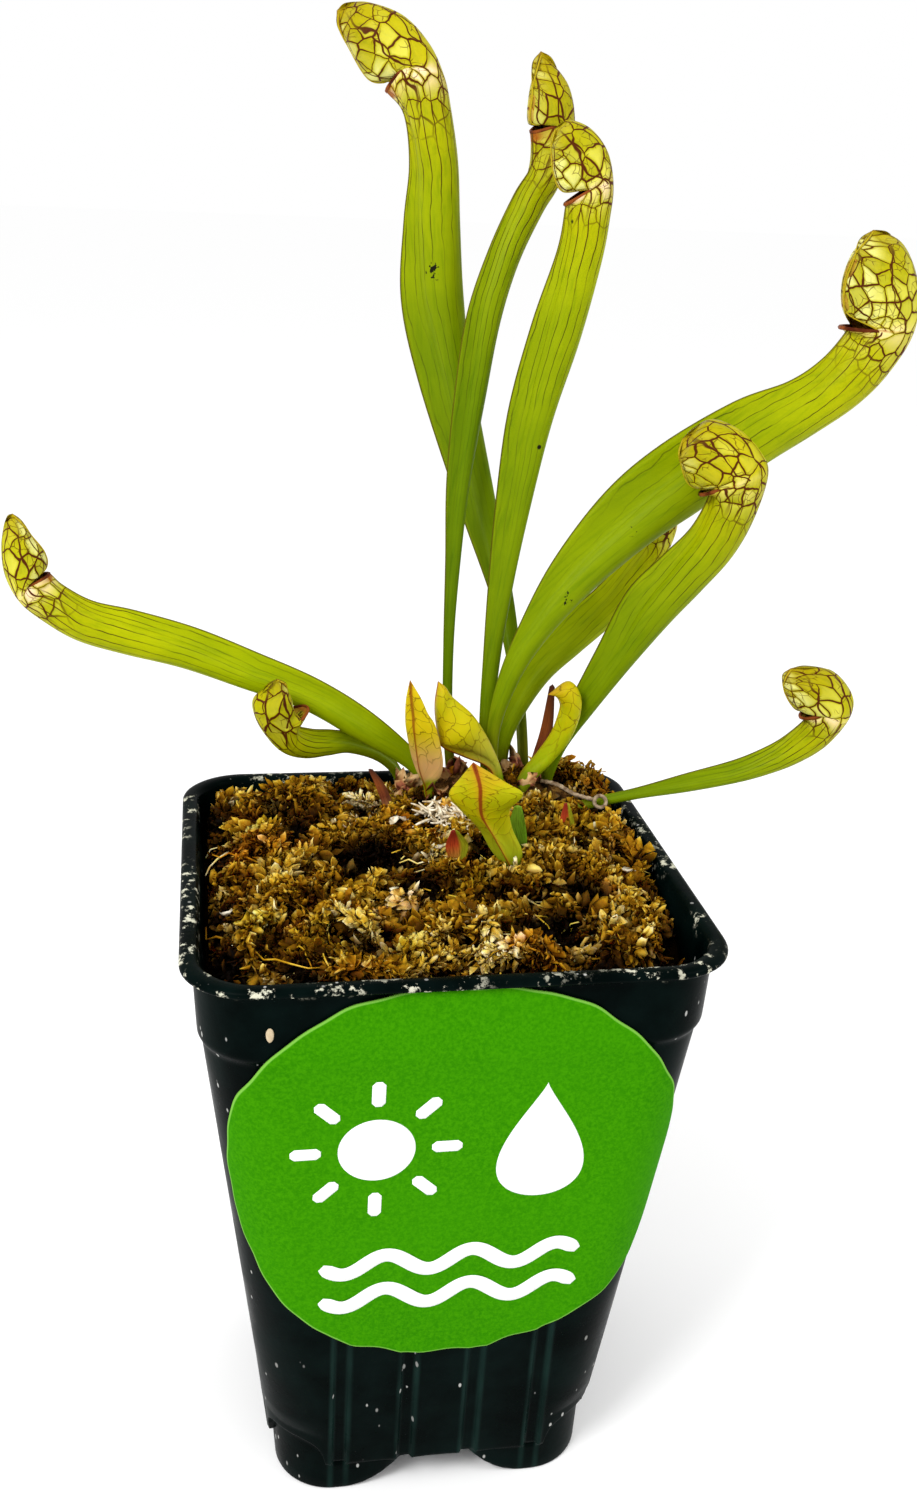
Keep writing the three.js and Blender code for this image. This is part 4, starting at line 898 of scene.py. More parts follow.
def make_scales():
    """Curled papery scales, thrown over the stem's upper side and pointing up and out from it."""
    draw = np.random.default_rng(23)
    middle = smooth_rows(np.array(RHIZOME_RUN, float), RHIZOME_STEPS)
    middle = middle[draw.integers(SCALE_ROWS[0], len(middle) + SCALE_ROWS[1], SCALES)]
    around = draw.uniform(-1.3, 0.9, SCALES)
    outward = np.stack([0 * around, np.sin(around), RHIZOME_FLATNESS * np.cos(around)], axis=1)
    base = middle[:, :3] + middle[:, 3:] * outward
    ahead = unit(outward + draw.normal(0, 0.7, base.shape) * [1, 1, 0.3])
    side = unit(np.cross(ahead, draw.normal(size=base.shape)))
    length = draw.uniform(*SCALE_LENGTH, SCALES)
    points = curled_leaves(base, ahead, side, length, length * draw.uniform(0.4, 0.7, SCALES),
                           draw.uniform(-0.5, 0.5, SCALES), draw.uniform(-1.2, 1.2, (SCALES, 3)))
    look = Look("papery_scales", 0.6, 0.05)
    look.paint(look.noise(230.0).ramp([(0.34, 0.05, 0.014, 0.004), (0.46, 0.3, 0.09, 0.045),
                                       (0.54, 0.5, 0.27, 0.1), (0.68, 0.72, 0.52, 0.26)]))
    return make_leaves("rhizome_scales", points, look)


for piece in (make_rhizome(), make_scales()):
    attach(piece, "root")
    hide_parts("rhizome")


# Grown pitchers. Each is one leaf rolled into a tube, with a thin wing down its front and a puffed
# hood bent over its mouth. It grows in its own upright plane, from its foot along its heading.
# run: middle of the leaf, [distance, height, depth]. hood: [crown distance, height, brim distance, height].
# lip: the tip of the mouth's rim. corner: where rim and brim meet. tip: the end of the hood.
# ripeness_and_shade: how far its colour has gone from dark green, 0, to yellow green, 1; a leaf that lies
# in shade was also given a lower value, as painted shade. clear: how clear and pink the
# windows beside its mouth are, from 0 to 1.
PITCHERS = {
    "pitcher_1_tall_left": dict(
        foot=(24, 40), heading=-20, ripeness_and_shade=0.3, clear=1.0, girth=5.0,
        lip=(-31.4, 253.6), corner=(-27.4, 257.4), tip=(-41, 267),
        run=[(2, 117, 2.4), (0.5, 133, 2.4), (-2.5, 150, 3.4), (-5.5, 161.5, 5), (-11.5, 180, 8),
             (-18.5, 203, 11), (-21.5, 217.5, 12.4), (-22, 231, 11), (-22, 241.5, 9.4), (-23.5, 250.5, 9)],
        hood=[(-20.5, 256.5, -27.5, 257.5), (-23.5, 262, -30.5, 255.5), (-28.5, 266.5, -34.5, 255.5),
              (-35, 268.5, -38, 260)]),
    "pitcher_2_tall_middle": dict(
        foot=(7, 35.5), heading=22, ripeness_and_shade=0.2, clear=0.15, girth=4.4,
        lip=(14.6, 247.6), corner=(18.6, 249.2), tip=(15.6, 261.2),
        run=[(3, 118, 2.2), (1.2, 134.5, 2.2), (0.7, 152, 2.4), (1, 168.5, 3.5), (1.5, 184, 5.3),
             (3.3, 200, 6.9), (5.6, 214.5, 7.4), (9.4, 225.7, 6.9), (14.2, 235, 6.9), (17.5, 240, 6.8)],
        hood=[(22.6, 245, 15, 245.2), (23.1, 250.6, 14.4, 249), (21.3, 256, 14.2, 254)]),
    "pitcher_3_tall_right": dict(
        foot=(14.5, 32), heading=-5, ripeness_and_shade=0.4, clear=0.9, girth=4.6,
        lip=(10.6, 235.3), corner=(14.6, 237.9), tip=(8.2, 248),
        run=[(2, 120, 2.4), (1, 133.5, 2.8), (1.5, 149.5, 3.6), (2.5, 164, 5), (4, 179, 6.8),
             (6.5, 197, 8.8), (10.5, 213, 9.7), (14, 226.5, 8.6), (15, 234, 8.5)],
        hood=[(19.4, 239, 12.6, 237.6), (18, 244.5, 10.4, 237.6), (14.8, 248.2, 8.6, 240),
              (11, 249.6, 7.8, 244)]),
    "pitcher_4_big_right": dict(
        foot=(18, 28), heading=5, ripeness_and_shade=0.6, clear=0.6, girth=6.6,
        lip=(64.4, 214.9), corner=(69.3, 214.8), tip=(68.5, 233),
        run=[(-1, 121, 2.2), (-1.8, 134, 2.6), (0.5, 145, 4.2), (5, 155, 6.4), (12.5, 166.5, 10.4),
             (23, 178, 14.2), (33.5, 186, 15.8), (47, 194.5, 14.4), (57.5, 199.5, 12), (65, 204.5, 12),
             (70, 210, 12.6)],
        hood=[(79, 213.5, 67.5, 214.4), (79.6, 220.5, 65, 217.8), (77.6, 226.5, 64, 222.8),
              (74.2, 231, 65.2, 227.8)]),
    "pitcher_5_right_front": dict(
        foot=(29, 29), heading=-20, ripeness_and_shade=0.4, clear=0.4, girth=6.0,
        lip=(24.7, 184.9), corner=(28.4, 186.8), tip=(20.6, 195),
        run=[(-1.5, 119, 2.2), (-1, 123.5, 2.6), (1, 131.5, 3.9), (5.5, 140.5, 5.5), (11, 151, 7.8),
             (17, 162, 10.6), (23, 169.5, 10.3), (28, 176, 9.8), (31, 183, 9.8)],
        hood=[(37.2, 189.5, 27.6, 186), (35.4, 193.6, 25, 186), (31, 197.5, 22.6, 186.8),
              (25.8, 199, 21, 190)]),
    "pitcher_6_back_right": dict(
        foot=(20, 35), heading=15, ripeness_and_shade=0.8, clear=0.3, girth=3.8,
        lip=(29.4, 171.6), corner=(31.6, 173.2), tip=(31.5, 180.5),
        run=[(0.5, 119.5, 2.2), (-0.5, 128, 3.4), (1.5, 135.5, 4.8), (6.5, 144.5, 7), (13.5, 151.5, 9),
             (21.5, 157.5, 8.8), (28, 164, 8), (32, 168.5, 6.6)],
        hood=[(37, 173.5, 29, 172.6), (36, 178.5, 30, 175.6)]),
    "pitcher_7_low_right": dict(
        foot=(33, 23), heading=-9, ripeness_and_shade=0.5, clear=0.8, girth=4.8,
        lip=(43.6, 141.2), corner=(47.4, 143), tip=(40.6, 151.2),
        run=[(-3, 119, 2.2), (5, 121.4, 2.3), (13, 123.6, 2.6), (22.5, 126.2, 4.1), (32, 129, 5),
             (38, 131.5, 5.7), (42.7, 134.2, 6.4), (47, 138, 7.2)],
        hood=[(53, 140.5, 46, 142), (54, 144.5, 44, 142.4), (52.6, 147.8, 42, 143.4), (49, 151, 40, 146.6)]),
    "pitcher_8_long_left": dict(
        foot=(2.5, 31), heading=185, ripeness_and_shade=0.9, clear=1.0, girth=3.9,
        lip=(71.3, 168.7), corner=(75.2, 167), tip=(77.2, 179.8),
        run=[(-3, 117.5, 2.2), (-2.5, 121, 2.4), (2.5, 128, 3.9), (12.5, 136, 6.4), (23, 143, 6.9),
             (35, 148.5, 7.8), (46.5, 153.5, 8.4), (57.5, 157, 8.8), (65.5, 159.5, 8.2), (71, 163, 7.8)],
        hood=[(77, 163.5, 73.2, 167.8), (79.2, 168.2, 72, 169.6), (79.6, 173, 72, 172.4),
              (79, 177, 74, 175.4)]),
    "pitcher_9_small_left": dict(
        foot=(-4, 38), heading=214, ripeness_and_shade=0.75, clear=0.1, girth=3.7,
        lip=(21, 141.6), corner=(24.8, 140.2), tip=(28.2, 148.6),
        run=[(-4, 115.5, 2.2), (-3.2, 121.3, 2.4), (1.8, 126.8, 3), (9.5, 131.2, 4.3), (15.4, 132.7, 5.4),
             (21, 133.8, 6.1), (25.7, 136.1, 6.2)],
        hood=[(31.2, 138.2, 24.9, 139.4), (33, 142, 25, 142), (33.2, 145.2, 25.6, 145)]),
}
# The tube takes up this share of the leaf's depth at the foot, where the wing is widest and at the mouth.
TUBE_SHARE, WING_FROM, WING_TO = (0.9, 0.55, 0.92), 0.45, 0.55
TUBE_ROUNDNESS, MOUTH_ROUNDNESS, RIM_ROUNDNESS = 0.44, 0.8, 0.96
THINNEST_HALF, WING_HALF, LEAF_WALL = 0.9, 0.3, 0.45
# Half a section: the tube's part of its turn, then the steps of the wing, and the whole turn of both.
TUBE_ANGLES, WING_STEPS = np.radians(np.linspace(0, 150, 19)), np.linspace(0, 1, 10)[1:]
SECTION_ANGLES = np.append(TUBE_ANGLES, TUBE_ANGLES[-1] + WING_STEPS * (math.pi - TUBE_ANGLES[-1]))
CORNER_COLUMN, ROWS_PER_STATION, THROAT_STATIONS = 14, 8, 3
HOOD_OPENING = math.radians(177)
LIP_RADIUS, BRIM_RADIUS, BEAD_SIDES, LEAST_BEAD_STEP = 0.36, 0.18, 6, 0.05
# Cells of the vein net, on the tube and on the hood: length and breadth. The tube's cells turn into the
# hood's between two places along the leaf. The net of each leaf starts this far from the last one's, and
# the length of a cell is measured down the leaf's flank.
TUBE_CELL, HOOD_CELL, TUBE_CELLS_TO, HOOD_CELLS_FROM = (13, 2.6), (3.5, 2.9), 0.58, 0.82
NET_SHIFT, FLANK_COLUMN = 7.31, 9
# Small black scars on the leaves: place and radius.
SCARS = [((3.2, 43.4, 222.5), 1.6), ((28.8, 25.9, 162.9), 1.5), ((41.5, 26, 176.7), 1.1),
         ((-44.1, 24.7, 157.3), 1.2)]


def section_points(start, end, deep, side):
    """Points of a half section, [distance, height, side], at depths from the start towards the end."""
    return np.column_stack([start + deep[:, None] * unit(np.subtract(end, start)), side])


def leaf_section(back, front, share, width, wall):
    """Half a leaf's section from its back line to its front edge. The tube is half an ellipse,
    depth = a (1 - cos angle), side = w sin angle, and a quadratic curve thins it to the wing's edge.
    With a wall given it is the bare ellipse that much further in."""
    depth = math.dist(back, front)
    half = share * depth / 2
    angles = SECTION_ANGLES if wall else TUBE_ANGLES
    deep = wall + (half - wall) * (1 - np.cos(angles))
    side = (width - wall) * np.sin(angles)
    if not wall:
        s = WING_STEPS
        bend = 2 * s * (1 - s)
        deep = np.append(deep, (1 - s) ** 2 * deep[-1] + bend * min(2 * half, 0.97 * depth) + s ** 2 * depth)
        side = np.append(side, (1 - s) ** 2 * side[-1] + bend * WING_HALF)
    return section_points(back, front, deep, side)


def mouth_section(back, corner, lip, width, wall):
    """Half the mouth's rim: it runs from the back to the corner and then along the lip to its tip."""
    cosine = np.cos(SECTION_ANGLES)[:, None]
    turned = cosine[CORNER_COLUMN]
    to_corner = np.clip((1 - cosine) / (1 - turned), 0, 1) * np.subtract(corner, back)
    to_lip = np.clip((turned - cosine) / (turned + 1), 0, 1) * np.subtract(lip, corner)
    line = back + to_corner + to_lip + wall * cosine * unit(np.subtract(lip, back))
    return np.column_stack([line, (width - wall) * np.sin(SECTION_ANGLES)])


def hood_section(crown, brim, width, wall):
    """Half the hood's section from crown to brim: an arc that stops at the opening's angle."""
    angles = TUBE_ANGLES[:CORNER_COLUMN + 1] / TUBE_ANGLES[CORNER_COLUMN] * HOOD_OPENING
    deep = wall + (math.dist(crown, brim) - wall) * (1 - np.cos(angles)) / (1 - math.cos(HOOD_OPENING))
    return section_points(crown, brim, deep, (width - wall) * np.sin(angles))


def hood_half(girth, share):
    """Half width of a hood at a share of its length: an ellipse that is widest a quarter of the way."""
    return girth * np.sqrt(1 - (1.15 * share - 0.3) ** 2)


def tube_stations(spec):
    """Back line, front line, tube share and half width at each point of the run."""
    run = np.array(spec["run"], float)
    along = unit(np.gradient(run[:, :2], axis=0))
    inward = np.column_stack([-along[:, 1], along[:, 0]]) * run[:, 2:3] / 2
    t = np.linspace(0, 1, len(run))
    low, winged, mouth = TUBE_SHARE
    share = low + (winged - low) * np.minimum(t / WING_FROM, 1)
    share = share + (mouth - winged) * np.clip((t - WING_TO) / (1 - WING_TO), 0, 1)
    if "girth" in spec:
        width = np.maximum(TUBE_ROUNDNESS * share * run[:, 2], THINNEST_HALF)
        width = width + (np.maximum(width, MOUTH_ROUNDNESS * spec["girth"]) - width) * t ** 6
    else:
        width = run[:, 3]
    return run[:, :2] - inward, run[:, :2] + inward, share, width


def pitcher_sheet(spec, wall):
    """One skin of a pitcher as rows of half sections, in its own plane: the rows of the tube up to the
    lip, which go all round, and the rows of the hood, which stop at the brim."""
    hood = spec["hood"]
    lower = [leaf_section(*values, wall) for values in zip(*tube_stations(spec))]
    lower.append(mouth_section(hood[0][:2], spec["corner"], spec["lip"], spec["girth"] * RIM_ROUNDNESS, wall))
    lower = np.array(lower)
    upper = [hood_section(row[:2], row[2:], hood_half(spec["girth"], number / (len(hood) + 1)), wall)
             for number, row in enumerate(hood[1:], start=2)]
    middle = 0.5 * np.add(hood[-1][:2], hood[-1][2:])
    end = spec["tip"] + (middle - spec["tip"]) * (0.35 * wall)
    near = 0.5 * (upper[-1] - upper[-1].mean(axis=0)) + [*(end + 0.28 * (middle - end)), 0]
    upper += [near * [1, 1, 0.9], np.tile([*end, 0.0], (CORNER_COLUMN + 1, 1))]
    back_part = smooth_rows(np.array([*lower[:, :CORNER_COLUMN + 1], *upper]), ROWS_PER_STATION)
    edge_on, rise = upper[0][CORNER_COLUMN] - lower[-1, CORNER_COLUMN], lower[-1] - lower[-2]
    lower, rise = lower[:, CORNER_COLUMN + 1:], rise[CORNER_COLUMN + 1:]
    progress = np.linspace(0, 1, len(rise))[:, None]
    ahead = lower[-1:] + (1 - progress) * edge_on + progress * rise
    return back_part, smooth_rows(lower, ROWS_PER_STATION, after=ahead), ROWS_PER_STATION * (len(lower) - 1)


def ring_tube(path, outward, radii, sides):
    """A closed tube round a closed path: circles that stand across the path at each of its points."""
    along = unit(np.roll(path, -1, axis=0) - np.roll(path, 1, axis=0))
    first = unit(outward - (outward * along).sum(axis=1)[:, None] * along)
    second = np.cross(along, first)
    angle = turns(sides)[:, None]
    circle = first[:, None] * np.cos(angle) + second[:, None] * np.sin(angle)
    points = path[:, None] + radii[:, None, None] * circle
    numbers = np.arange(len(path) * sides).reshape(len(path), sides)
    return points.reshape(-1, 3), grid_faces(np.pad(numbers, ((0, 1), (0, 1)), mode="wrap"))


def mirrored(half):
    """The whole section from its right front edge round the back to its left front edge."""
    return np.concatenate([half[:, :0:-1] * [1, 1, -1], half], axis=1)


def to_space(spec, points):
    """From a leaf's own plane, [distance, height, side], to the pot's axes."""
    turn = math.radians(spec["heading"])
    axes = [[math.cos(turn), math.sin(turn), 0], [0, 0, 1], [math.sin(turn), -math.cos(turn), 0]]
    return points @ np.array(axes) + [*spec["foot"], 0]


def leaf_measures(rows, rim_row):
    """Of each point of a sheet: how far along the leaf it is, 0 at the foot, 1 at the rim and 2 at the
    tip; its share of the way round from the back; its distance to the nearer edge; and the length of its
    half section. The first and the last are one column wide, and the second is one row."""
    along = np.append(np.linspace(0, 1, rim_row + 1), np.linspace(1, 2, len(rows) - rim_row)[1:])
    around = np.abs(np.linspace(-1, 1, rows.shape[1]))
    edge = np.minimum(*[np.linalg.norm(rows - rows[:, [side]], axis=2) for side in (-1, 0)])
    span = np.linalg.norm(np.diff(rows, axis=1), axis=2).sum(axis=1, keepdims=True) / 2
    return along[:, None], around[None], edge, span


def net_places(rows, along, seed):
    """Places on the vein net: along the leaf and round it, both counted in cells of the net. Cells are
    long and narrow on the tube and nearly round on the hood."""
    middle = rows.shape[1] // 2
    t = np.clip((along - TUBE_CELLS_TO) / (HOOD_CELLS_FROM - TUBE_CELLS_TO), 0, 1)
    length, breadth = [on_tube + (on_hood - on_tube) * t * t * (3 - 2 * t)
                       for on_tube, on_hood in zip(TUBE_CELL, HOOD_CELL)]
    spine = np.linalg.norm(np.diff(rows[:, middle + FLANK_COLUMN], axis=0), axis=1)
    forth = np.append(0, np.cumsum(spine / length[1:, 0]))[:, None]
    gaps = np.linalg.norm(np.diff(rows, axis=1), axis=2)
    across = np.pad(np.cumsum(gaps, axis=1), ((0, 0), (1, 0)))
    across -= across[:, middle:middle + 1]
    return np.dstack(np.broadcast_arrays(forth, across / breadth)) + seed * NET_SHIFT


def make_pitcher(name, spec, look, seed):
    """A pitcher as one closed skin: outer sheet, inner sheet down into the throat, the strips that join
    them round the mouth and brim, and a rolled bead on that edge. A point's values are its place, its
    place on the net, and its marks."""
    titles = ("along", "round", "edge", "inside", "rim", "span")
    values, faces, loops = [], [], []
    count = 0
    for layer, wall in enumerate((0.0, LEAF_WALL)):
        back, front, rim_row = pitcher_sheet(spec, wall)
        lower, upper = mirrored(np.append(back[:rim_row + 1], front, axis=1)), mirrored(back[rim_row + 1:])
        width = lower.shape[1]
        skip = (width - upper.shape[1]) // 2
        sheet = np.concatenate([lower, np.pad(upper, ((0, 0), (skip, skip), (0, 0)), mode="edge")])
        along, around, edge, span = leaf_measures(sheet, rim_row)
        hooded = np.arange(len(sheet))[:, None] > rim_row
        around = around * np.where(hooded, width / (width - 2 * skip), 1)
        marks = np.broadcast_arrays(along, around, edge, layer, 0.0, span)
        here = np.dstack([to_space(spec, sheet), net_places(sheet, along, seed), *marks])
        first = rim_row - ROWS_PER_STATION * THROAT_STATIONS if layer else 0
        present = ~hooded | (np.abs(np.arange(width) - width // 2) <= width // 2 - skip)
        present[:first] = False
        numbers = np.full(present.shape, -1)
        numbers[present] = count + np.arange(present.sum())
        count += present.sum() + 1
        centre = [*here[first, :, :3].mean(axis=0), *here[first, width // 2, 3:5], along[first, 0], 0.5, 3.0,
                  layer, 0.0, span[first, 0]]
        values += [here[present], [centre]]
        cap = np.column_stack([numbers[first, 1:], numbers[first, :-1], np.full(width - 1, count - 1)])
        faces += [part[:, ::-1] if layer else part for part in (grid_faces(numbers), cap)]
        left, right = width - 1 - skip, skip
        loops.append(np.concatenate([
            numbers[rim_row, right::-1], numbers[rim_row, :left - 1:-1], numbers[rim_row + 1:, left],
            numbers[-1, left - 1:right:-1], numbers[:rim_row:-1, right]]))
    values = np.concatenate(values)
    outer, inner = loops
    faces.append(grid_faces(np.pad(loops, ((0, 0), (0, 1)), mode="wrap")))
    rim = 0.5 * (values[outer, :3] + values[inner, :3])
    apart = np.linalg.norm(rim - np.roll(rim, 1, axis=0), axis=1) > LEAST_BEAD_STEP
    outer, inner, rim = outer[apart], inner[apart], rim[apart]
    on_lip = values[outer, 5] < 1.0001
    radii = np.where(on_lip, LIP_RADIUS, BRIM_RADIUS) * (spec["girth"] / 5) ** 0.5
    places, bead_faces = ring_tube(rim, values[outer, :3] - values[inner, :3], radii, BEAD_SIDES)
    bead = np.repeat(values[outer], BEAD_SIDES, axis=0)
    bead[:, :3] = places
    bead[:, 5 + titles.index("rim")] = np.repeat(np.where(on_lip, 1.0, 0.5), BEAD_SIDES)
    values = np.concatenate([values, bead])
    faces = np.concatenate([*faces, bead_faces + count])
    marks = dict(zip(titles, values[:, 5:].T))
    marks |= {title: np.full(len(values), spec[title]) for title in ("ripeness_and_shade", "clear")}
    return make_piece(name, values[:, :3], faces, look, {"net": values[:, 3:5]}, marks)


def lengthwise_lines(look, count, wander, half_width):
    """Veins that run up a leaf at even shares of the way round it. Gives 1 on a vein: its distance in
    millimetres is the share's distance to the nearest of them, times the leaf's span."""
    sway = look.noise(70.0).between(0.3, 0.7, -wander, wander)
    share = look.mark("round") * float(count) + sway
    off = abs(share.maths("FRACT") - 0.5) * (look.mark("span") / float(count))
    return (off / half_width).between(0.6, 1.4, 1.0, 0.0)


def net_cells(look, scale, bend, feature="DISTANCE_TO_EDGE"):
    """Cells of the vein net, with their sides bent by noise. Gives the distance to the nearest side, or
    each cell's own random colour."""
    net = look.put("UVMap", uv_map="net")
    wobble = look.noise(0.9, 2.0, 0.5, at=net).other("Color")
    wobble = look.put("VectorMath", {0: wobble, 1: (0.5, 0.5, 0.5)}, operation="SUBTRACT")
    wobble = look.put("VectorMath", {0: wobble, 3: bend}, operation="SCALE")
    net = look.put("VectorMath", {0: net, 1: wobble}, operation="ADD")
    cells = look.put("TexVoronoi", {"Vector": net, "Scale": scale, "Randomness": 0.9},
                     voronoi_dimensions="2D", feature=feature)
    return cells if feature == "DISTANCE_TO_EDGE" else cells.other("Color")


def pitcher_look():
    """Leaf skin: green tube with thin lengthwise veins, which join into a red-brown net at the neck and
    over the olive hood, with pale windows between the veins. The lip is stained red and brown, and small
    black scars and specks lie on the tube."""
    look = Look("pitcher_leaf", 0.42, 0.035)
    along, around, ripeness_and_shade, clear, edge, inside, rim = [
        look.mark(title) for title in ("along", "round", "ripeness_and_shade", "clear", "edge", "inside", "rim")]
    dark = (along * 0.5).ramp([
        (0.0, 0.1, 0.09, 0.004), (0.08, 0.05, 0.11, 0.0003), (0.25, 0.06, 0.13, 0.0003),
        (0.37, 0.17, 0.23, 0.0005), (0.5, 0.35, 0.31, 0.001), (0.7, 0.34, 0.3, 0.001),
        (1.0, 0.3, 0.2, 0.002)])
    light = (along * 0.5).ramp([
        (0.0, 0.16, 0.15, 0.004), (0.08, 0.2, 0.28, 0.0003), (0.25, 0.27, 0.34, 0.0003),
        (0.37, 0.34, 0.37, 0.0005), (0.5, 0.39, 0.37, 0.001), (0.7, 0.37, 0.36, 0.001),
        (1.0, 0.33, 0.25, 0.002)])
    cloud = look.noise(120.0, 4.0)
    # Painted shade: a low ripeness_and_shade darkens a leaf that lies in shade, besides its own dark green.
    skin = dark.under(ripeness_and_shade, light).under(cloud.between(0.35, 0.7, 0.0, 0.5), (1.35, 1.25, 1.0), "MULTIPLY")
    grain = look.put("Mapping", {"Vector": look.put("UVMap", uv_map="net"), "Scale": (1.2, 3.2, 1.0)})
    streak = look.noise(1.0, 4.0, at=grain)
    skin = skin.under(streak.between(0.45, 0.75, 0.0, 0.6), (0.6, 0.72, 0.6), "MULTIPLY")

    chance = look.put("SeparateColor", {0: net_cells(look, 1.0, 0.5, "F1")})
    to_side = net_cells(look, 1.0, 0.5)
    by_brim = around.between(0.45, 0.75) * along.between(1.05, 1.15)
    by_mouth = abs(along - 1.01).between(0.02, 0.11, 1.0, 0.0) * clear
    windows = along.between(1.1, 1.7, 1.0, 0.15).most(by_brim) * along.between(0.85, 0.96)
    windows = windows * along.between(1.75, 1.9, 1.0, 0.0) * around.between(0.1, 0.4, 0.25, 1.0)
    windows = windows * chance.between(0.35, 0.6, 0.1, 0.9).most(by_mouth) * to_side.between(0.02, 0.2)
    windows = windows * clear.between(0.0, 0.6, 0.35, 1.0)
    pink = chance.other(1).between(0.3, 0.5, 0.35, 1.0) * by_mouth
    pale = look.blend(by_brim, (0.6, 0.56, 0.07), (0.7, 0.68, 0.2)).under(pink, (0.86, 0.64, 0.38))
    skin = skin.under(windows, pale)

    stout = look.noise(190.0, 1.0).between(0.35, 0.6, 0.6, 1.3)
    main = (to_side / stout).between(0.03, 0.065, 1.0, 0.0) * along.between(0.8, 0.92)
    minor = net_cells(look, 2.1, 0.7).between(0.02, 0.07, 0.75, 0.0) * along.between(0.82, 0.95)
    minor = minor * look.noise(230.0, 1.0).between(0.48, 0.56)
    whole = look.noise(130.0).between(0.4, 0.55, 0.35, 1.0).most(along.between(0.7, 0.9))
    long_veins = lengthwise_lines(look, 8, 0.2, 0.075) * along.between(0.3, 0.8, 0.1, 1.0)
    long_veins = long_veins * along.between(0.9, 1.0, 1.0, 0.0) * whole
    hood_veins = lengthwise_lines(look, 3, 0.3, 0.2) * along.between(0.84, 0.96)
    hood_veins = hood_veins * along.between(1.5, 1.85, 1.0, 0.0)
    net = main.most(minor) * along.between(1.75, 1.93, 1.0, 0.1)
    tint = look.blend(along.between(0.6, 0.95), (0.035, 0.04, 0.002), (0.07, 0.015, 0.002))
    skin = skin.under(net.most(long_veins.most(hood_veins)), tint)

    blotch = look.noise(260.0, 2.0)
    stained = abs(along - (blotch * 0.12 + 0.93)).between(0.01, 0.04, 1.0, 0.0) * around.between(0.5, 0.85)
    skin = skin.under(stained * 0.9, (0.28, 0.07, 0.006))
    # Painted shade: a thin dark band along the leaf's edges, from a little above its foot.
    skin = skin.under(edge.between(0.1, 0.4, 0.85, 0.0) * along.between(0.1, 0.3), (0.06, 0.04, 0.004))
    skin = skin.under(along.between(1.85, 2.0, 0.0, 0.6), (0.36, 0.2, 0.02))
    lip = look.blend(blotch.between(0.4, 0.6), (0.22, 0.055, 0.01), (0.06, 0.01, 0.003))
    skin = skin.under(rim.over(0.25), (0.4, 0.3, 0.01)).under(rim.over(0.75), lip)
    skin = skin.under(inside * 0.6, (0.4, 0.16, 0.02))
    spots = look.specks(170.0, 0.96, 0.05, 0.1, channel=1)
    ragged = look.noise(900.0, 2.0).between(0.35, 0.65, -0.9 * MM, 0.9 * MM)
    for scar, radius in SCARS:
        ends = {0: look.place(), 1: tuple(np.array(scar) * MM)}
        away = look.put("VectorMath", ends, output="Value", operation="DISTANCE") + ragged
        spots = spots.most(away.between(0.5 * radius * MM, 0.8 * radius * MM, 1.0, 0.0))
    skin = skin.under(spots, (0.008, 0.008, 0.003))
    look.feed({"Roughness": cloud.between(0.3, 0.7, 0.36, 0.5), "Subsurface Weight": 0.1,
               "Subsurface Radius": (1.0, 0.8, 0.1), "Subsurface Scale": 0.8 * MM})
    puffed = to_side.between(0.0, 0.3) * along.between(0.8, 1.0)
    return look.paint(skin, puffed + long_veins * -0.25 + streak * 0.3, 0.5, 0.4)


pitcher_skin = pitcher_look()
for order, (title, spec) in enumerate(PITCHERS.items()):
    leaf = make_pitcher("leaf_" + title, spec, pitcher_skin, order + 1)
    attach(leaf, "root")
    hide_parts(title)


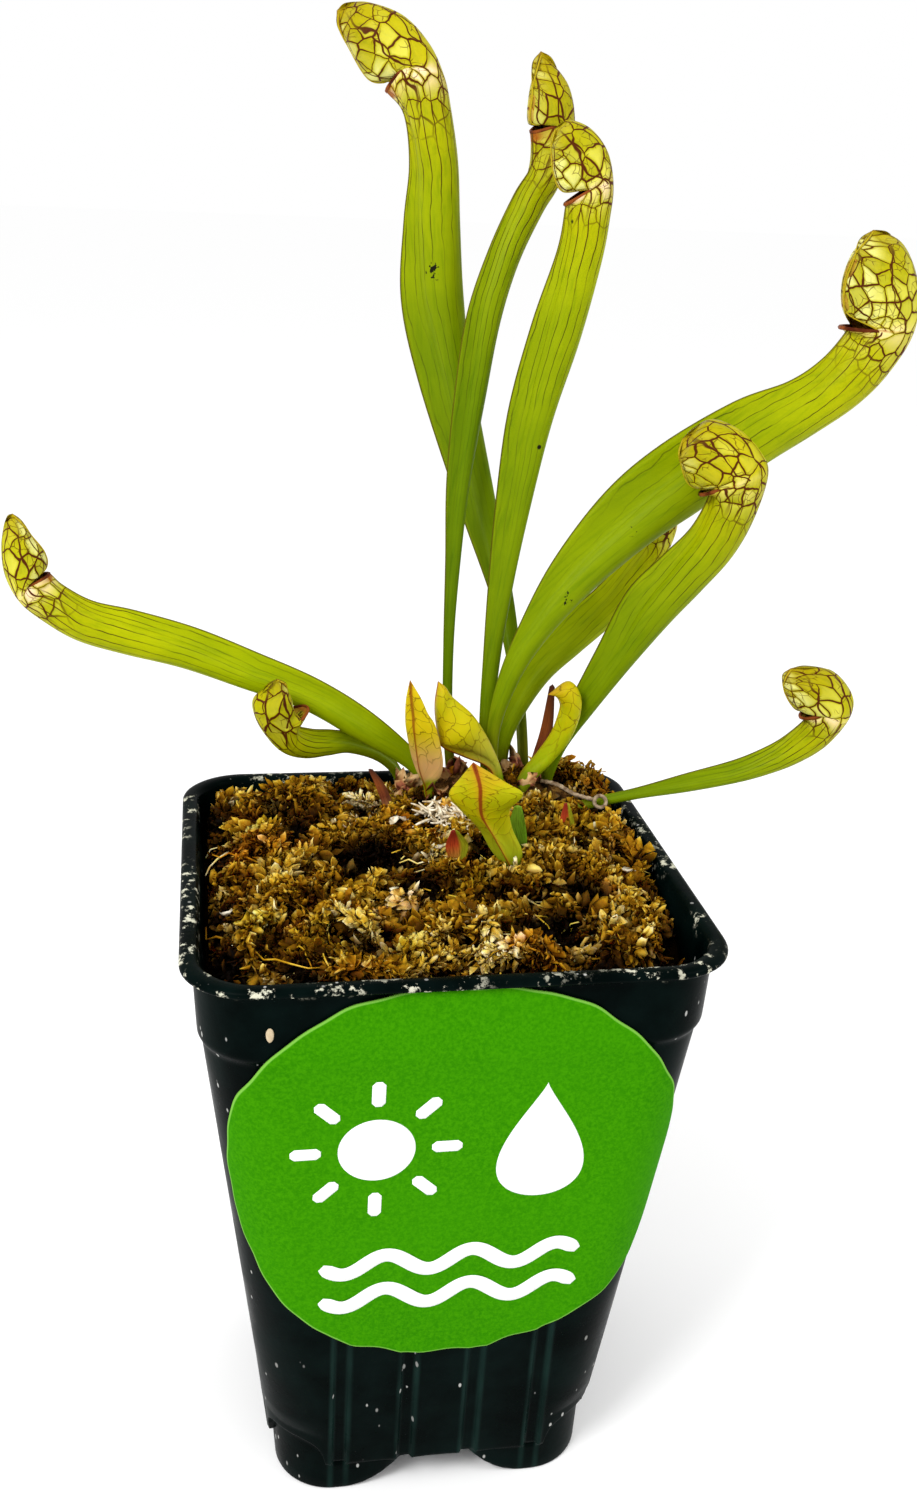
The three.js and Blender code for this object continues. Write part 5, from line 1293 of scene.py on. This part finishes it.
# Young pitchers. Four leaves round the crown that are still shut, yellow and flushed with red. The
# wing's edge shows as a red keel down the front, and the puffed end is folded flat. A leaf without a
# girth has two more values in a row: its half width and how far it leans to its right side.
YOUNG_PITCHERS = {
    "young_pitcher_left": dict(
        foot=(4.7, 27.3), heading=50, tip=(-10.8, 149, 0), flush=0.95, red=0.55, ear=0.0,
        run=[(-2, 119, 2, 0.9, 0), (-2.9, 124.5, 2.4, 1.2, 0), (-3.5, 127, 3.6, 2.8, 0),
             (-4.4, 130, 4.8, 3.6, 0), (-5.4, 134, 5.2, 3.6, 0), (-6.7, 138.5, 4.8, 3.2, 0)],
        hood=[(-6.8, 142, -9.4, 141.5, 2.5, 0), (-8.4, 145.2, -10.2, 145, 1.6, 0)]),
    "young_pitcher_middle": dict(
        foot=(15, 25), heading=0, girth=2.4, tip=(-10.9, 146.6), flush=0.25, red=0.9, ear=0.0,
        run=[(3, 121, 2), (2.2, 126, 2), (0.6, 129.4, 3), (-2.9, 132.9, 6.4), (-6.6, 136.2, 9)],
        hood=[(-7.8, 143.4, -10.6, 135.6), (-9.2, 145.4, -11.4, 141.2)]),
    "young_pitcher_front": dict(
        foot=(15, -4.5), heading=75, tip=(-6.2, 142.6, -8), flush=0.05, red=1.0, ear=1.6,
        run=[(-0.3, 117.5, 1.8, 1, 0), (-0.5, 120.5, 2.2, 1.8, -0.6), (-1.2, 123.5, 3.6, 3, -1.7),
             (-2, 128, 4.8, 3.2, -3.8), (-3, 132.5, 5.4, 4.6, -6)],
        hood=[(-2.8, 136, -6.6, 135.4, 5.9, -6.4), (-3.9, 139.4, -6.9, 138.6, 3.8, -6.6)]),
    "young_pitcher_hooked": dict(
        foot=(22, 25), heading=-6, girth=2.2, tip=(4.4, 143.8), flush=0.0, red=0.1, ear=0.0,
        run=[(-2, 120, 2), (1.3, 126.3, 3.4), (4.5, 130.5, 3.9), (7.4, 135.1, 4.3), (8.9, 140, 4.5)],
        hood=[(10.9, 143.8, 6.6, 142.4), (8.4, 146.6, 5.8, 143.4)]),
}
YOUNG_ROWS = 8
# The ear stands out about here along the leaf, over this spread, and rises by a share of its reach.
EAR_AT, EAR_SPREAD, EAR_RISE = 1.35, 0.22, 0.6


def young_sections(spec):
    """Half sections of a shut pitcher from foot to tip, and how far each leans to the side."""
    hood = spec["hood"]
    if "girth" in spec:
        widths = hood_half(spec["girth"], np.arange(1, len(hood) + 1) / (len(hood) + 1))
        sides = np.zeros(len(spec["run"]) + len(hood) + 1)
    else:
        widths = [row[4] for row in hood]
        sides = np.array([row[-1] for row in (*spec["run"], *hood, spec["tip"])], float)
    rows = [leaf_section(*values, 0.0) for values in zip(*tube_stations(spec))]
    rows += [leaf_section(row[:2], row[2:4], 1.0, width, 0.0) for row, width in zip(hood, widths)]
    rows.append([*spec["tip"][:2], 0.0] + 0.06 * (rows[-1] - rows[-1].mean(axis=0)))
    return np.array(rows), sides


def make_young(name, spec, look, seed):
    """A shut pitcher: the leaf's section all the way, swept from foot to tip and closed at both. An
    ear is the right side of the hood, drawn out and up by the cube of its share of the width."""
    sections, sides = young_sections(spec)
    rows = mirrored(smooth_rows(sections, YOUNG_ROWS))
    along, around, edge, span = leaf_measures(rows, YOUNG_ROWS * (len(spec["run"]) - 1))
    reach = rows[..., 2] / np.abs(rows[..., 2]).max(axis=1, keepdims=True)
    pull = spec["ear"] * np.exp(-((along - EAR_AT) / EAR_SPREAD) ** 2) * np.clip(reach, 0, 1) ** 3
    rows[..., 2] += pull
    rows[..., 1] += EAR_RISE * pull
    net = net_places(rows, along, seed)
    rows[..., 2] += smooth_rows(sides, YOUNG_ROWS)[:, None]
    space = to_space(spec, rows)
    points, faces = ring_stack(space[:, :-1], space[0].mean(axis=0), space[-1].mean(axis=0))
    net = np.concatenate([net[:, :-1].reshape(-1, 2), net[[0, -1], rows.shape[1] // 2]])
    marks = {title: np.append(np.broadcast_to(values, edge.shape)[:, :-1], ends) for title, values, ends in (
        ("along", along, [0, 2]), ("round", around, [0.5, 0.5]), ("edge", edge, [2, 0.4]))}
    marks |= {title: np.full(len(points), spec[title]) for title in ("flush", "red")}
    return make_piece(name, points, faces, look, {"net": net}, marks)


def young_look():
    """Thin young skin: lime to yellow, peach low down where it is flushed, dark fine veins and a red
    keel."""
    look = Look("young_leaf", 0.45, 0.05)
    along, edge, flush, red = [look.mark(title) for title in ("along", "edge", "flush", "red")]
    skin = (along * 0.5).ramp([
        (0.0, 0.1, 0.1, 0.004), (0.12, 0.14, 0.2, 0.002), (0.25, 0.3, 0.36, 0.002), (0.5, 0.46, 0.42, 0.002),
        (0.8, 0.46, 0.36, 0.003), (1.0, 0.42, 0.24, 0.012)])
    cloud = look.noise(160.0)
    skin = skin.under(cloud.between(0.42, 0.68, 0.0, 0.6), (0.3, 0.36, 0.002))
    sunny = look.blend(along.between(0.55, 1.0), (0.74, 0.42, 0.16), (0.66, 0.5, 0.006))
    flushed = flush * along.between(0.25, 0.45) * look.noise(110.0, 2.0).between(0.3, 0.55, 0.6, 1.0)
    skin = skin.under(flushed, sunny)
    net = look.put("UVMap", uv_map="net")
    bend = look.noise(1.1, 2.0, 0.5, at=net).other("Color")
    net = look.put("VectorMath", {0: net, 1: bend}, operation="ADD")
    cells = look.put("TexVoronoi", {"Vector": net, "Scale": 1.2}, voronoi_dimensions="2D",
                     feature="DISTANCE_TO_EDGE")
    veins = cells.between(0.015, 0.05, 1.0, 0.0) * along.between(0.4, 1.0, 0.1, 0.7)
    skin = skin.under(veins, (0.13, 0.07, 0.002))
    skin = skin.under(edge.between(0.4, 1.3, 0.35, 0.0) * red, (0.5, 0.2, 0.01))
    keel = edge.between(0.2, 0.5, 0.9, 0.0) * red.between(0.0, 0.8, 0.2, 1.0)
    look.feed({"Subsurface Weight": 0.1, "Subsurface Scale": 0.5 * MM})
    return look.paint(skin.under(keel, (0.22, 0.025, 0.004)), cells + cloud * 0.2, 0.4, 0.3)


young_skin = young_look()
for order, (title, spec) in enumerate(YOUNG_PITCHERS.items()):
    leaf = make_young("leaf_" + title, spec, young_skin, order + 21)
    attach(leaf, "root")
    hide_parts(title)


# Small leaves. A green new leaf, two red buds and two dry brown leaf bases, each a thin blade that
# rises through the moss. Each run is [x, y, z, half width] along the blade.
BLADES = {
    "new_leaf": ("young_leaf", 80, [
        (16.8, -1.8, 117.5, 0.9), (16.5, -2, 123.8, 1.2), (15.7, -2, 127.6, 1.5), (15.6, -2, 131.2, 0.7)]),
    "bud_right": ("bud_leaf", 90, [
        (27.4, 5.5, 117, 0.9), (27.2, 5, 121, 1.3), (26.8, 4.8, 125, 1.4), (26.5, 4.6, 128.6, 0.5)]),
    "bud_front": ("bud_leaf", 100, [
        (4.6, -1, 117, 1), (4.6, -1.6, 121, 1.7), (4.3, -2.2, 124, 2.2), (3.7, -2.8, 127, 0.7)]),
    "dead_leaf_right": ("dead_leaf", 60, [
        (26.6, 34, 119, 1), (26.6, 33.4, 125, 1.1), (28.4, 32.6, 133, 1.3), (28.8, 31.6, 143, 0.6)]),
    "dead_leaf_left": ("dead_leaf", 120, [
        (-4.5, 21.5, 117, 1.1), (-5.6, 21.8, 121.5, 1.2), (-7.2, 22, 126, 1.1), (-9.2, 22.2, 129.5, 0.5)]),
}
BLADE_THICKNESS, BLADE_CURL, BLADE_STEPS = 0.38, 0.35, 10
# Colours of a blade along it, from base to tip.
BLADE_COLOURS = {
    "young_leaf": [(0.0, 0.1, 0.12, 0.01), (0.4, 0.13, 0.27, 0.01), (1.0, 0.22, 0.4, 0.02)],
    "bud_leaf": [(0.0, 0.3, 0.22, 0.02), (0.35, 0.6, 0.26, 0.04), (0.65, 0.55, 0.07, 0.02),
                 (1.0, 0.22, 0.015, 0.008)],
    "dead_leaf": [(0.0, 0.09, 0.03, 0.006), (0.35, 0.3, 0.13, 0.05), (0.5, 0.17, 0.04, 0.015),
                  (0.7, 0.24, 0.06, 0.012), (1.0, 0.07, 0.018, 0.008)],
}
# Colour of a blade's side, and how strong it is.
SIDE_COLOURS = {"young_leaf": ((0.12, 0.3, 0.01), 0.3), "bud_leaf": ((0.3, 0.36, 0.01), 0.9),
                "dead_leaf": ((0.05, 0.02, 0.01), 0.5)}


def blade_look(slot):
    """Leaf colour along the blade with fine lengthwise veins."""
    look = Look("blade_" + slot, 0.5, 0.1)
    along, across = look.mark("along"), look.mark("across")
    side, strength = SIDE_COLOURS[slot]
    skin = along.ramp(BLADE_COLOURS[slot]).under(across.between(0.1, 0.55, 0.0, strength), side)
    streak = look.noise(2.2, at=look.put("CombineXYZ", {"X": across * 3.5, "Y": along * 1.5}))
    skin = skin.under(streak.between(0.42, 0.7, 0.0, 0.7), (0.35, 0.25, 0.2), "MULTIPLY")
    skin = skin.under(look.noise(300.0).between(0.5, 0.75, 0.0, 0.4), (0.6, 0.5, 0.4), "MULTIPLY")
    return look.paint(skin, streak, 0.5, 0.3)


def make_blade(name, facing, run, look):
    """A blade: a lens section with a low keel, curled a little at its sides, along a smooth run."""
    line = smooth_rows(np.array(run, float), BLADE_STEPS)
    turn = math.radians(facing)
    side = np.array([math.sin(turn), -math.cos(turn), 0.0])
    out = np.array([math.cos(turn), math.sin(turn), 0.0])
    across, deep = np.cos(turns(24)), np.sin(turns(24))
    place, half = line[:, :3], line[:, 3:]
    lift = BLADE_THICKNESS * deep * (1 - 0.55 * across ** 2) - BLADE_CURL * half * (across ** 2 - 0.5)
    rings = place[:, None] + (half * across)[..., None] * side + lift[..., None] * out
    marks = {"along": np.append(np.repeat(np.linspace(0, 1, len(line)), len(across)), [0, 1]),
             "across": np.append(np.tile(across, len(line)), [0, 0])}
    tip = place[-1] + (place[-1] - place[-2]) * 0.6
    return make_piece(name, *ring_stack(rings, place[0], tip), look, marks=marks)


blade_looks = {slot: blade_look(slot) for slot in BLADE_COLOURS}
for title, (slot, facing, run) in BLADES.items():
    blade = make_blade("blade_" + title, facing, run, blade_looks[slot])
    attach(blade, "root")
    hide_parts(title)


# Dry twig. A thin dry stem with a ring-shaped end, lying on the moss behind the crown.
TWIG_RUN = [(26.4, 26.6, 124.4), (29.5, 24.9, 124.2), (32.5, 22.6, 123.0), (36.2, 20.4, 122.5)]
TWIG_RADIUS, TWIG_STEPS = 0.42, 10
TWIG_RING_AT, TWIG_RING_TILT = (37.4, 19.8, 122.3), math.radians(60)
TWIG_RING_RADIUS, TWIG_RING_HALF = 1.2, 0.4


def make_twig():
    """A knobbly rod along a smooth run, and a ring at its far end."""
    line = smooth_rows(np.array(TWIG_RUN, float), TWIG_STEPS)
    thick = TWIG_RADIUS * (1 + 0.15 * np.sin(2.1 * np.arange(len(line))))
    angle = turns(36)
    circle = np.column_stack([np.cos(angle), np.outer(np.sin(angle), [math.cos(TWIG_RING_TILT),
                                                                      math.sin(TWIG_RING_TILT)])])
    path = TWIG_RING_AT + TWIG_RING_RADIUS * circle
    ring = ring_tube(path, circle, np.full(len(path), TWIG_RING_HALF), 8)
    look = Look("twig_wood", 0.75, 0.2)
    bark = look.noise(900.0, 4.0)
    look.paint(bark.ramp([(0.35, 0.12, 0.07, 0.035), (0.65, 0.4, 0.3, 0.19)]), bark, 0.6, 0.2)
    return make_piece("twig_dry", *joined([rods(line[None], thick[None], 10), ring]), look)


twig_piece = make_twig()
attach(twig_piece, "root")
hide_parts("dry_twig")


# Loose bits. A tuft of white root fibres, white flakes and a beige seed lie on the moss and the
# collar, as they fell there.
TUFT_AT, TUFT_SPREAD, TUFT_COUNT, TUFT_RADIUS = (7.0, 13.5, 123.6), (8.0, 4.0, 1.8), 110, 0.24
FLAKES = [(-4.5, 14.5, 122.6), (-6.2, 11.5, 122.2), (3.7, 1.9, 121.8), (-39, -18, 119.6), (34, -10, 121.6)]
SEED_AT, SEED_SIZE = (-31.8, -43.75, 110.8), (0.75, 0.45, 1.3)


def make_tuft(look):
    """Short curled fibres, thrown every way round one place."""
    draw = np.random.default_rng(31)
    t = np.linspace(-0.5, 0.5, 9)[:, None]
    middle = draw.normal(0, 0.45, (TUFT_COUNT, 3)) * TUFT_SPREAD + TUFT_AT
    way = unit(draw.normal(size=(TUFT_COUNT, 3)) * [1, 1, 0.45])
    bend = draw.normal(0, 1.6, (TUFT_COUNT, 1, 3))
    length = draw.uniform(3.0, 6.5, (TUFT_COUNT, 1, 1))
    paths = middle[:, None] + t * length * way[:, None] + bend * (t ** 2 - 0.08)
    radii = np.broadcast_to(TUFT_RADIUS * (1.15 - 2.6 * t[:, 0] ** 2), (TUFT_COUNT, len(t)))
    return make_piece("white_root_tuft", *rods(paths, radii, 6), look, seam=FINE_SEAM)


def make_flakes(look):
    """Thin curled flakes, each a small closed leaf."""
    draw = np.random.default_rng(37)
    base = np.array(FLAKES)
    ahead = unit(draw.normal(size=base.shape) * [1, 1, 0.3])
    side = unit(np.cross(ahead, [0.1, 0.2, 1.0]))
    length, breadth, curl = [draw.uniform(low, high, len(base))
                             for low, high in ((2.4, 4.0), (1.5, 2.4), (0.1, 0.4))]
    ruffle = draw.uniform(-0.5, 0.5, (len(base), 3))
    return make_leaves("white_flakes", curled_leaves(base, ahead, side, length, breadth, curl, ruffle), look)


def make_seed():
    """An egg shape with a slight point, stuck flat to the collar."""
    t = np.linspace(0.05, 0.95, 14)[:, None]
    radius = np.sin(math.pi * t) * (1 - 0.25 * t)
    angle = turns(20)
    shape = np.broadcast_arrays(radius * np.cos(angle), radius * np.sin(angle), np.cos(math.pi * t))
    rings = np.stack(shape, axis=2) * SEED_SIZE + SEED_AT
    top = np.array([0, 0, SEED_SIZE[2]])
    look = Look("seed_coat", 0.6, 0.3)
    look.paint(look.blend(look.noise(1500.0), (0.35, 0.25, 0.13), (0.62, 0.52, 0.36)))
    return make_piece("seed_on_collar", *ring_stack(rings, SEED_AT + top, SEED_AT - top), look)


def pale_look():
    """Bleached plant fibre."""
    look = Look("pale_fibre", 0.6, 0.2)
    return look.paint(look.noise(500.0).ramp([(0.35, 0.42, 0.3, 0.15), (0.6, 0.85, 0.78, 0.62)]))


pale_skin = pale_look()
for piece in (make_tuft(pale_skin), make_flakes(pale_skin), make_seed()):
    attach(piece, "root")
